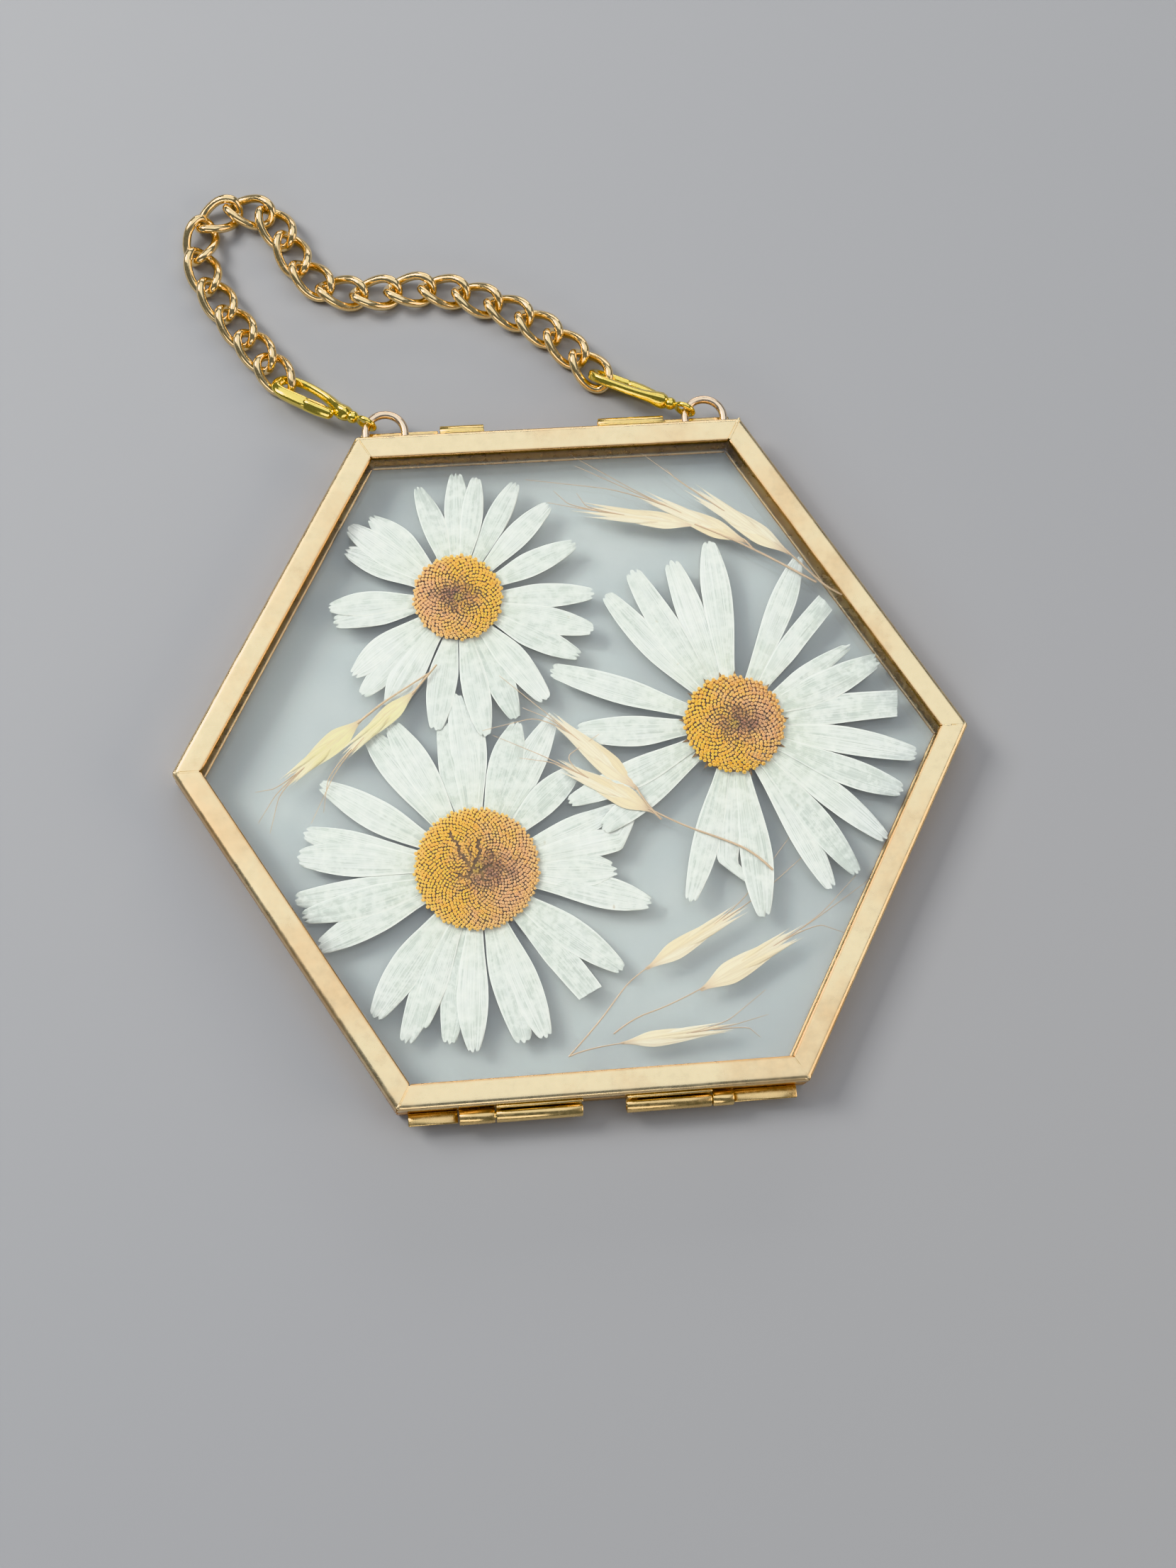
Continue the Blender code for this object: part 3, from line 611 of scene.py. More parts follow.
def add_tube(work, points, radii, sides, closed=False, squareness=1.0):
    """Sweeps a round or squarish section along points; open ends are closed with a dome."""
    run = [(Vector(point), radius) for point, radius in zip(points, radii)]
    if not closed:
        for end, inner in ((-1, -2), (0, 1)):
            point, radius = run[end]
            out = (point - run[inner][0]).normalized()
            caps = []
            for turn in (30, 60, 80):
                angle = math.radians(turn)
                caps.append((point + out * radius * math.sin(angle), radius * math.cos(angle)))
            run = run + caps if end else caps[::-1] + run
    count = len(run)
    normal = None
    rings = []
    for index, (point, radius) in enumerate(run):
        before = run[index - 1][0] if closed or index else point
        after = run[(index + 1) % count][0] if closed or index < count - 1 else point
        tangent = (after - before).normalized()
        normal = tangent.orthogonal() if normal is None else normal
        normal = (normal - tangent * normal.dot(tangent)).normalized()
        across = tangent.cross(normal)
        ring = []
        for side in range(sides):
            angle = math.tau * side / sides
            cosine = math.copysign(abs(math.cos(angle)) ** squareness, math.cos(angle))
            sine = math.copysign(abs(math.sin(angle)) ** squareness, math.sin(angle))
            ring.append(work.verts.new(point + (normal * cosine + across * sine) * radius))
        rings.append(ring)
    for index in range(count if closed else count - 1):
        ring = rings[index]
        following = rings[(index + 1) % count]
        offset = 0
        if closed and index == count - 1:
            offset = min(range(sides), key=lambda shift: (following[shift].co - ring[0].co).length)
        for side in range(sides):
            beside = (side + 1) % sides
            work.faces.new((
                ring[side], ring[beside],
                following[(beside + offset) % sides], following[(side + offset) % sides],
            ))
    if not closed:
        work.faces.new(rings[0][::-1])
        work.faces.new(rings[-1])


hinge_z = frame["joints"][0]["pos_m"][2] / MM
for side in ("left", "right"):
    for leaf in ("front", "back"):
        node = f"hinge_knuckle_{leaf}_{side}"
        low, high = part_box(node)
        plate_end = (high.z if leaf == "front" else low.z) / MM
        knuckle = build_strip(node, rolled_path(-1, hinge_z, KNUCKLE_RADIUS, plate_end), strip_brass)
        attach(knuckle, f"{leaf}_leaf")
        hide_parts(node)
    node = f"catch_tab_{side}"
    low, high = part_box(node)
    roll_z = low.z / MM + TAB_RADIUS
    tab = build_strip(node, rolled_path(1, roll_z, TAB_RADIUS, high.z / MM), tab_brass)
    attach(tab, "front_leaf")
    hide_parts(node)
    for edge, node in ((-1, f"hinge_ledge_{side}"), (1, f"catch_ledge_{side}")):
        low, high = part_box(node)
        reach = (high.y - low.y) / MM
        ledge = build_strip(node, ledge_path(edge, low.z / MM, high.z / MM, reach), strip_brass)
        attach(ledge, "back_leaf")
        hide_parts(node)
    node = f"hinge_pin_{side}"
    low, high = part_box(node)
    radius = (high.z - low.z) / 2 / MM
    pin_y = (low.y + high.y) / 2 / MM - HEXAGON_CENTRE.y / MM
    work = bmesh.new()
    pin_ends = [(low.x / MM + radius * 0.98, pin_y, hinge_z), (high.x / MM - radius * 0.98, pin_y, hinge_z)]
    add_tube(work, pin_ends, [radius] * 2, 20)
    pin = make_piece(f"{node}_wire", work, tab_brass)
    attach(pin, "back_leaf")
    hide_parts(node)

# ---------------------------------------------------------------------------------------------
# Half rings
# A half ring of pale gold-plated wire stands on each top ledge, held by a bead of solder at
# each of its two feet.
# ---------------------------------------------------------------------------------------------
RING_STEPS = 30
ring_gold, tree, shader, wear = new_metal(
    "pale_plated_gold", 0.000002,
    clean=(0.92, 0.74, 0.55, 1), tarnish=(0.75, 0.50, 0.32, 1), tarnish_amount=0.3, cloud_scale=200.0,
    smoothest=0.14, roughest=0.28, scratch_scale=600.0,
)
for side in ("left", "right"):
    low, high = (corner / MM - HEXAGON_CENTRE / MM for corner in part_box(f"ring_{side}"))
    wire_radius = (high.z - low.z) / 2
    ring_radius = (high.x - low.x) / 2 - wire_radius
    middle = Vector(((low.x + high.x) / 2, high.y - wire_radius - ring_radius, (low.z + high.z) / 2))
    points = [middle + Vector((ring_radius, low.y - middle.y + wire_radius * 0.3, 0))]
    for step in range(RING_STEPS + 1):
        angle = math.pi * step / RING_STEPS
        points.append(middle + Vector((math.cos(angle), math.sin(angle), 0)) * ring_radius)
    points.append(middle + Vector((-ring_radius, low.y - middle.y + wire_radius * 0.3, 0)))
    work = bmesh.new()
    add_tube(work, points, [wire_radius] * len(points), 16)
    for foot in (-ring_radius, ring_radius):
        bead = (middle.x + foot, low.y + 0.62, low.z + 0.28)
        add_blob(work, bead, (wire_radius * 1.35, 0.6, 0.36))
    ring = make_piece(f"ring_{side}_wire", work, ring_gold)
    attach(ring, "back_leaf")
    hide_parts(f"ring_{side}")

# ---------------------------------------------------------------------------------------------
# Clasps
# Two cast swivel clasps, polished and plated lemon gold. An eye and a ball turn on each half
# ring, the squarish hook holds the chain's end link, and a sprung lever shuts the hook.
# ---------------------------------------------------------------------------------------------
CLASP_HEADINGS = {"left": 148.0, "right": 152.0}
CLASP_ROLLS = {"left": 205.0, "right": 55.0}
CLASP_DIP = 5.5
EYE_REACH = 3.2
EYE_RADIUS = 1.35
EYE_WIRE = 0.4
BALL_RADIUS = 0.95
BALL_REACH = 2.35
# along the clasp, across it and the section's radius
HOOK_PATH = [
    (3.45, 0.0, 1.0), (4.4, 0.1, 1.0), (5.4, 0.5, 0.75), (7.0, 1.3, 0.6), (9.8, 1.85, 0.55),
    (12.8, 1.9, 0.55), (14.7, 1.2, 0.58), (15.1, -0.3, 0.62), (14.3, -1.65, 0.72),
    (12.0, -1.75, 0.8), (9.7, -1.7, 0.8),
]
LEVER_PATH = [(9.4, -1.7, 0.8), (8.4, -1.68, 0.8), (7.4, -1.65, 0.8), (5.6, -1.5, 0.7)]
CLASP_SQUARENESS = 0.55
CLASP_FULLNESS = 1.12
CLASP_REST = 0.02
CLASP_END_EASE = 0.25
EYE_STEPS = 36

clasp_gold, tree, shader, wear = new_metal(
    "lemon_plated_gold", 0.000002,
    clean=(0.96, 0.76, 0.22, 1), tarnish=(0.66, 0.46, 0.10, 1), tarnish_amount=0.3, cloud_scale=260.0,
    smoothest=0.08, roughest=0.20, scratch_scale=700.0,
)


def spline_run(points, steps):
    """A smooth run through the middles of the legs between points, starting and ending on the ends."""
    points = [Vector(point) for point in points]
    run = [points[0]]
    for index in range(1, len(points) - 1):
        start = points[0] if index == 1 else (points[index - 1] + points[index]) / 2
        end = points[-1] if index == len(points) - 2 else (points[index] + points[index + 1]) / 2
        for step in range(1, steps + 1):
            part = step / steps
            bend = start * (1 - part) ** 2 + points[index] * 2 * part * (1 - part) + end * part ** 2
            run.append(bend)
    return run


for side in ("left", "right"):
    heading = math.radians(CLASP_HEADINGS[side])
    low, high = (corner / MM - HEXAGON_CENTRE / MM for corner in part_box(f"ring_{side}"))
    wire_radius = (high.z - low.z) / 2
    ring_radius = (high.x - low.x) / 2 - wire_radius
    eye = Vector((
        (low.x + high.x) / 2 + EYE_REACH * math.cos(heading),
        high.y - wire_radius - ring_radius + EYE_REACH * math.sin(heading),
        (low.z + high.z) / 2,
    ))
    upright = Matrix.Translation(eye) @ Matrix.Rotation(heading, 4, "Z")
    upright = upright @ Matrix.Rotation(math.radians(CLASP_DIP), 4, "Y")
    rolled = upright @ Matrix.Rotation(math.radians(CLASP_ROLLS[side]), 4, "X")
    work = bmesh.new()
    turns = [math.tau * step / EYE_STEPS for step in range(EYE_STEPS)]
    eye_points = [upright @ Vector((EYE_RADIUS * math.cos(t), 0, EYE_RADIUS * math.sin(t))) for t in turns]
    add_tube(work, eye_points, [EYE_WIRE] * len(eye_points), 12, closed=True)
    add_blob(work, upright @ Vector((BALL_REACH, 0, 0)), (BALL_RADIUS,) * 3)
    swivel = make_piece(f"clasp_{side}_swivel_eye", work, clasp_gold)
    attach(swivel, "back_leaf")
    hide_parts(f"clasp_{side}_swivel")
    for part, path, body in (
        ("hook", spline_run(HOOK_PATH, 6), "back_leaf"), ("gate", LEVER_PATH, f"clasp_lever_{side}"),
    ):
        path = [Vector(point) for point in path]
        radii = [point.z * CLASP_FULLNESS for point in path]
        drawn_in = math.copysign(CLASP_END_EASE, path[0].x - path[1].x)
        path[0] = Vector((path[0].x - drawn_in, path[0].y, path[0].z))
        points = [rolled @ Vector((point.x, point.y, 0)) for point in path]
        work = bmesh.new()
        add_tube(work, points, radii, 20, squareness=CLASP_SQUARENESS)
        for vert in work.verts:
            vert.co.z = max(vert.co.z, CLASP_REST)
        piece = make_piece(f"clasp_{side}_{part}_cast", work, clasp_gold, 60)
        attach(piece, body)
        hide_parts(f"clasp_{side}_{part}")

# ---------------------------------------------------------------------------------------------
# Chain
# A curb chain of plated wire. Every link is a long oval with a half twist, so that the links
# lie flat on the table, each one through the next.
# ---------------------------------------------------------------------------------------------
LINK_LENGTH = 8.3
LINK_WIDTH = 5.6
LINK_WIRE = 1.3
LINK_TWIST = 50.0
LINK_STEPS = 44
LINK_SIDES = 14
LINK_HEADINGS = [
    128, 134, 143, 151, 157, 169, 182, 184, 166, 135,
    110, 122, 167, 212, 257, 287, 298, 303, 305, 305,
]
LINK_ROLLS = {19: 10, 20: 20}

chain_gold, tree, shader, wear = new_metal(
    "rose_plated_gold", 0.000002,
    clean=(0.96, 0.74, 0.42, 1), tarnish=(0.78, 0.50, 0.22, 1), tarnish_amount=0.35, cloud_scale=220.0,
    smoothest=0.08, roughest=0.22, scratch_scale=700.0,
)


def geometry_tree(name, inputs):
    """An empty Geometry Nodes tree with named inputs: the tree, what it is given and its end."""
    tree = bpy.data.node_groups.new(name, "GeometryNodeTree")
    tree.interface.new_socket("Geometry", in_out="INPUT", socket_type="NodeSocketGeometry")
    for label, kind in inputs:
        tree.interface.new_socket(label, in_out="INPUT", socket_type=f"NodeSocket{kind}")
    tree.interface.new_socket("Geometry", in_out="OUTPUT", socket_type="NodeSocketGeometry")
    given = tree.nodes.new("NodeGroupInput").outputs
    gives = tree.nodes.new("NodeGroupOutput").inputs
    return tree, given, gives


def run_tree(piece, tree, values):
    """Puts a tree on an object with its inputs set by name, and keeps the plain mesh that it makes."""
    modifier = piece.modifiers.new(tree.name, "NODES")
    modifier.node_group = tree
    for item in tree.interface.items_tree:
        if item.in_out == "INPUT" and item.name in values:
            modifier[item.identifier] = values[item.name]
    bpy.context.view_layer.update()
    evaluated = piece.evaluated_get(bpy.context.evaluated_depsgraph_get())
    mesh = bpy.data.meshes.new_from_object(evaluated)
    piece.modifiers.remove(modifier)
    piece.data = mesh
    mesh.name = piece.name
    return piece


def finish_tree(tree, gives, geometry, finish):
    """Ends a tree: its instances become plain mesh and are given their finish."""
    real = add_node(tree, "GeometryNodeRealizeInstances", {0: geometry})
    inputs = {"Geometry": real.outputs[0], "Material": finish}
    finished = add_node(tree, "GeometryNodeSetMaterial", inputs)
    tree.links.new(finished.outputs[0], gives["Geometry"])


def link_run_tree():
    """Sets a link on every point, turned as the point's turn attribute says."""
    tree, given, gives = geometry_tree("chain_links", [("Link", "Object"), ("Finish", "Material")])
    link = add_node(tree, "GeometryNodeObjectInfo", {"Object": given["Link"]})
    turn = add_node(tree, "GeometryNodeInputNamedAttribute", {"Name": "turn"}, data_type="FLOAT_VECTOR")
    placed = add_node(tree, "GeometryNodeInstanceOnPoints", {
        "Points": given["Geometry"], "Instance": link.outputs["Geometry"],
        "Rotation": turn.outputs["Attribute"],
    })
    finish_tree(tree, gives, placed.outputs[0], given["Finish"])
    return tree


def link_points():
    """The middle line of one link, in metres about its own middle."""
    half_length = (LINK_LENGTH - LINK_WIRE) / 2
    half_width = (LINK_WIDTH - LINK_WIRE) / 2
    points = []
    for step in range(LINK_STEPS):
        angle = math.tau * step / LINK_STEPS
        x = half_length * math.copysign(abs(math.cos(angle)) ** 0.8, math.cos(angle))
        y = half_width * math.copysign(abs(math.sin(angle)) ** 0.8, math.sin(angle))
        twist = math.radians(LINK_TWIST) * x / half_length
        points.append(Vector((x, y * math.cos(twist), y * math.sin(twist))) * MM)
    return points


work = bmesh.new()
add_tube(work, link_points(), [LINK_WIRE / 2 * MM] * LINK_STEPS, LINK_SIDES, closed=True)
bmesh.ops.recalc_face_normals(work, faces=work.faces)
link_mesh = bpy.data.meshes.new("link_pattern")
work.to_mesh(link_mesh)
work.free()
link_mesh.shade_smooth()
link_pattern = bpy.data.objects.new("link_pattern", link_mesh)
bpy.context.scene.collection.objects.link(link_pattern)

link_nodes = [f"chain_link_{number:02d}" for number in range(1, len(LINK_HEADINGS) + 1)]
chain_mesh = bpy.data.meshes.new("curb_chain")
link_middles = [sum(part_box(node), Vector()) / 2 for node in link_nodes]
chain_mesh.from_pydata(link_middles, [], [])
turns = chain_mesh.attributes.new("turn", "FLOAT_VECTOR", "POINT")
for number, heading in enumerate(LINK_HEADINGS, start=1):
    roll = math.radians(LINK_ROLLS.get(number, 0))
    turns.data[number - 1].vector = (roll, 0, math.radians(heading))
chain = bpy.data.objects.new("curb_chain", chain_mesh)
bpy.context.scene.collection.objects.link(chain)
run_tree(chain, link_run_tree(), {"Link": link_pattern, "Finish": chain_gold})
bpy.data.objects.remove(link_pattern)
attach(chain, "back_leaf")
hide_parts(*link_nodes)

# ---------------------------------------------------------------------------------------------
# Petals
# The three daisies' ray petals, pressed flat and dried papery: narrow at the base, blunt and
# notched at the tip, with two long furrows, lying over and under each other.
# ---------------------------------------------------------------------------------------------
PETAL_THICKNESS = 0.06
PETAL_ROWS = 26
PETAL_COLUMNS = 16
PETAL_SHEEN = 0.15
# how high the petals lie over each other: every second one, and every third by turns
PETAL_LIFT = 0.11
PETAL_SHUFFLE = 0.03
# heading, length from the flower's middle, width and, for an odd one, how it differs
PETALS = {
    "daisy_small": [
        (359, 20.0, 3.7), (343, 20.3, 4.0), (330, 19.8, 4.0), (306, 20.0, 4.2), (291, 20.0, 4.2),
        (277, 21.2, 4.0), (257, 20.2, 4.3), (235, 19.5, 4.6), (223, 20.2, 4.0), (214, 19.2, 4.2),
        (188, 18.4, 3.6), (181, 18.8, 3.7), (152, 18.0, 4.2), (142, 19.4, 4.0), (132, 18.0, 4.2),
        (105, 18.3, 3.6), (87, 19.7, 3.7), (78, 19.1, 3.2), (61, 20.2, 3.4), (44, 20.0, 3.6),
        (23, 19.4, 3.8),
    ],
    "daisy_right": [
        (4, 24.3, 4.3, "cut"), (21, 23.8, 4.5, "ragged"), (31, 21.0, 2.6, "ragged"), (49, 23.5, 3.2, "cut"),
        (64, 28.0, 3.9), (92, 28.3, 4.4), (105, 26.5, 4.2), (118, 27.6, 4.2), (129, 26.9, 4.0),
        (159, 27.8, 4.0), (179, 23.0, 4.6), (202, 26.8, 4.2), (215, 24.8, 4.0), (251, 27.0, 3.9),
        (262, 24.8, 3.4, "folded"), (273, 28.5, 4.6), (295, 27.6, 3.8), (304, 27.9, 4.0),
        (318, 27.4, 4.0), (334, 26.2, 4.2), (347, 27.0, 4.2),
    ],
    "daisy_large": [
        (345, 25.2, 4.6), (321, 25.0, 4.6), (308, 23.7, 4.0, "cut"), (288, 25.8, 4.6), (281, 25.5, 4.4),
        (265, 25.9, 4.4), (257, 25.0, 4.2), (247, 23.8, 3.5), (244, 26.5, 4.6), (232, 25.4, 4.8),
        (203, 24.7, 4.6), (192, 25.4, 4.2), (186, 25.9, 4.0), (172, 25.3, 5.0), (164, 25.0, 4.0),
        (147, 25.5, 4.6), (124, 25.7, 4.6), (116, 24.6, 4.4), (99, 22.0, 4.2, "ragged"), (93, 26.0, 4.0),
        (88, 24.4, 4.6), (71, 22.5, 4.8), (60, 25.1, 4.8, "ragged"), (42, 21.0, 4.4),
        (20, 22.5, 3.6, "ragged"), (8, 25.3, 3.8, "folded"), (356, 19.8, 5.4, "ragged"),
    ],
}


def layered(tree, body, layers):
    """Lays colours over a body colour, each through its mask."""
    for mask, paint in layers:
        body = mix_colour(tree, mask, body, (*paint, 1))
    return body


def build_petal_finish():
    """Dried petal: off-white with grey-green and bluish tones, long veins and a greyer base."""
    material, tree, shader = new_material("dried_petal", 0.62)
    place = add_node(tree, "ShaderNodeTexCoord").outputs
    tone = stored(tree, "tone")
    strand_place = mapped(tree, place["UV"], scale=(1.0, 16.0, 1.0))
    # every petal reads another part of the veins' noise
    offset = add_node(tree, "ShaderNodeCombineXYZ", {0: calculate(tree, "MULTIPLY", tone, 37.0)}).outputs[0]
    veins = noise_value(tree, vector_step(tree, "ADD", strand_place, offset), 1.6, 4.0, 0.6)
    mottle = noise_value(tree, place["Object"], 700.0, 4.0, 0.65)
    cloud = noise_value(tree, place["Object"], 160.0, 2.0, 0.5)
    specks = noise_value(tree, place["Object"], 420.0, 2.0)
    along, sideways, _ = add_node(tree, "ShaderNodeSeparateXYZ", {0: place["UV"]}).outputs
    off_middle = calculate(tree, "ABSOLUTE", calculate(tree, "SUBTRACT", sideways, 0.5))
    body = mix_colour(tree, tone, (0.68, 0.69, 0.69, 1), (0.47, 0.50, 0.49, 1))
    body = layered(tree, body, [
        (spread(tree, cloud, 0.35, 0.7, 0.0, 0.6), (0.46, 0.50, 0.46)),
        (spread(tree, along, 0.0, 0.45, 0.6, 0.0), (0.40, 0.44, 0.34)),
        (spread(tree, veins, 0.40, 0.58, 0.75, 0.0), (0.31, 0.35, 0.33)),
        (spread(tree, mottle, 0.44, 0.68, 0.0, 0.55), (0.78, 0.79, 0.77)),
        (spread(tree, specks, 0.74, 0.80, 0.0, 0.6), (0.30, 0.24, 0.15)),
        (spread(tree, off_middle, 0.43, 0.5, 0.0, 0.7), (0.84, 0.85, 0.83)),
    ])
    tree.links.new(body, shader.inputs["Base Color"])
    tree.links.new(spread(tree, mottle, 0.3, 0.7, 0.5, 0.75), shader.inputs["Roughness"])
    height = calculate(tree, "ADD", calculate(tree, "MULTIPLY", mottle, 0.5), veins)
    add_relief(tree, shader, height, 0.55, 0.00006)
    shader.inputs["Sheen Weight"].default_value = PETAL_SHEEN
    return material


def add_leaf(work, surface, rows, columns, thickness, tone):
    """A thin closed leaf. surface(along, across) gives its top, along 0 to 1 and across -1 to 1."""
    uv_layer = work.loops.layers.uv.verify()
    tone_layer = work.verts.layers.float.get("tone") or work.verts.layers.float.new("tone")
    top = []
    bottom = []
    mapped = {}
    for row in range(rows + 1):
        for grid in (top, bottom):
            grid.append([])
        for column in range(columns + 1):
            along = row / rows
            across = 2 * column / columns - 1
            point = Vector(surface(along, across))
            rim = row in (0, rows) or column in (0, columns)
            half_thickness = thickness / 2 * (0.45 if rim else 1.0)
            for grid, direction in ((top, 1), (bottom, -1)):
                vert = work.verts.new(point + Vector((0, 0, direction * half_thickness)))
                vert[tone_layer] = tone
                mapped[vert] = (along, (across + 1) / 2)
                grid[-1].append(vert)
    quads = []
    for row in range(rows):
        for column in range(columns):
            for grid, order in ((top, 1), (bottom, -1)):
                corners = [
                    grid[row][column], grid[row + 1][column],
                    grid[row + 1][column + 1], grid[row][column + 1],
                ]
                quads.append(corners[::order])
    border = [(0, column) for column in range(columns)]
    border += [(row, columns) for row in range(rows)]
    border += [(rows, column) for column in range(columns, 0, -1)]
    border += [(row, 0) for row in range(rows, 0, -1)]
    for index, (row, column) in enumerate(border):
        next_row, next_column = border[(index + 1) % len(border)]
        quads.append([
            top[row][column], top[next_row][next_column],
            bottom[next_row][next_column], bottom[row][column],
        ])
    for quad in quads:
        face = work.faces.new(quad)
        for loop in face.loops:
            loop[uv_layer].uv = mapped[loop.vert]


def smooth_step(value, low, high):
    """Rises smoothly from 0 at low to 1 at high."""
    part = min(1.0, max(0.0, (value - low) / (high - low)))
    return part * part * (3 - 2 * part)


def petal_surface(middle, height, start, petal, draw):
    """The shape of one petal, as a function of the place along and across it."""
    heading, length, width = petal[:3]
    odd = petal[3] if len(petal) > 3 else ""
    out, aside = heading_axes(heading)
    notches = [(side * draw.uniform(0.22, 0.45), draw.uniform(0.15, 0.75)) for side in (-1, 1)]
    bow = draw.uniform(-0.4, 0.4)
    seed = draw.uniform(0, 100)
    widest = draw.uniform(0.50, 0.66)
    tip_width = draw.uniform(0.40, 0.60)
    crumple = 0.14 if odd == "ragged" else 0.05

    def surface(along, across):
        if odd == "cut":
            tip = length + 0.35 * across
        else:
            tip = length - 0.5 * tip_width * width * (1 - math.sqrt(1 - min(1, abs(across)) ** 2 * 0.96))
            for place, deep in notches:
                tip -= deep * math.exp(-((across - place) / 0.15) ** 2)
        if odd == "ragged":
            tip += 1.0 * noise.noise(Vector((across * 2.1, seed, 0)))
        tip += 0.12 * noise.noise(Vector((across * 6.0, seed, 4)))
        reach = start + (tip - start) * along
        wide = 0.46 + 0.54 * smooth_step(along, 0.0, widest)
        taper = max(0.0, (along - widest) / (1 - widest))
        wide *= 1 - (0.10 if odd == "cut" else 1 - tip_width) * taper ** 2.0
        wide *= 1 + crumple * 0.7 * noise.noise(Vector((along * 3.0, across, seed)))
        sideways = across * wide * width / 2 + bow * math.sin(math.pi * along)
        furrows = math.exp(-((across - 0.34) / 0.13) ** 2) + math.exp(-((across + 0.34) / 0.13) ** 2)
        z = height - 0.05 * furrows * (1 - 0.5 * along) + 0.13 * wide * (1 - across * across)
        z += crumple * noise.noise(Vector((reach * 0.28, sideways * 0.9, seed)))
        if odd == "folded":
            past = max(0.0, reach - length * 0.82)
            reach -= past * 0.35
            sideways += past * 0.75
        return middle + out * reach + aside * sideways + Vector((0, 0, z))

    return surface


petal_finish = build_petal_finish()
for name, petals in PETALS.items():
    low, high = (corner / MM - HEXAGON_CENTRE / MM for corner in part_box(f"{name}_disc"))
    middle = Vector(((low.x + high.x) / 2, (low.y + high.y) / 2, 0))
    disc_radius = (high.x - low.x) / 2
    rays_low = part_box(f"{name}_rays")[0].z / MM
    draw = random.Random(name)
    work = bmesh.new()
    for number, petal in enumerate(petals):
        level = rays_low + 0.01 + PETAL_LIFT * (number % 2) + PETAL_SHUFFLE * (number % 3)
        surface = petal_surface(middle, level, disc_radius * 0.7, petal, draw)
        add_leaf(work, surface, PETAL_ROWS, PETAL_COLUMNS, PETAL_THICKNESS, draw.random())
    spread_petals = make_piece(f"{name}_petals", work, petal_finish, 75)
    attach(spread_petals, "back_leaf")
    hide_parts(f"{name}_rays")

# ---------------------------------------------------------------------------------------------
# Discs
# Each daisy's yellow disc is a low dome packed with tiny tube florets in a spiral, yellow where
# they have opened, peach where they faded and brown in the middle. The large one has dry cracks.
# ---------------------------------------------------------------------------------------------
GOLDEN_ANGLE = 137.508
FLORET_SIDES = 6
DISCS = {
    # about each disc's middle: the faded side's heading, the brown patch's place, reach and turn, and
    # how far apart the florets stand
    "daisy_small": dict(
        faded_heading=195.0, brown=(-0.4, 0.2), brown_reach=3.8, brown_turn=15.0, spacing=0.52, seed=3,
    ),
    "daisy_right": dict(
        faded_heading=20.0, brown=(1.4, 0.2), brown_reach=4.2, brown_turn=-30.0, spacing=0.56, seed=5,
    ),
    "daisy_large": dict(
        faded_heading=-15.0, brown=(1.8, -0.4), brown_reach=4.6, brown_turn=60.0, spacing=0.48, seed=8,
    ),
}
# the large disc's cracks, as runs of points from its middle
CRACKS = [
    [(-0.6, 0.0), (-1.2, 0.9), (-2.2, 2.4), (-2.7, 3.9), (-3.4, 5.0)],
    [(-0.6, 0.0), (0.1, 1.4), (0.5, 2.4), (0.4, 3.8)],
    [(-0.6, 0.0), (-1.2, -1.2), (-2.6, -1.0)],
    [(-0.6, 0.0), (0.7, -0.2), (1.9, 0.3)],
    [(0.4, -0.3), (0.8, -1.6)],
]
CRACK_WIDTH = 0.26
# how wide a floret is drawn, as a share of their spacing
FLORET_FULLNESS = 1.03
# florets for each square of their spacing
FLORET_DENSITY = 1.12
# a floret's outline, as radius, height and how near it is to the top of the bud; the low rings get the
# painted shade between florets
FLORET_RINGS = [
    (0.28, -0.9, 0.0), (0.42, -0.25, 0.0), (0.50, 0.20, 0.55), (0.36, 0.55, 1.0), (0.12, 0.40, 0.5),
]
# the seat under the florets, as shares of the disc's radius and height
SEAT_RINGS = [(0.90, 0.0), (0.96, 0.25), (0.9, 0.6), (0.7, 0.88), (0.4, 1.0), (0.05, 1.0)]
SEAT_STEPS = 48
# headings of the small dark brown pointed tips that stick out from under the right daisy's disc, between its
# petals
DARK_TIP_HEADINGS = (100, 84, 118, 141, 3, 331, 215, 172, 45, 196, 283, 232)
DARK_TIP_LENGTH = 1.0
DARK_TIP_WIDTH = 0.55


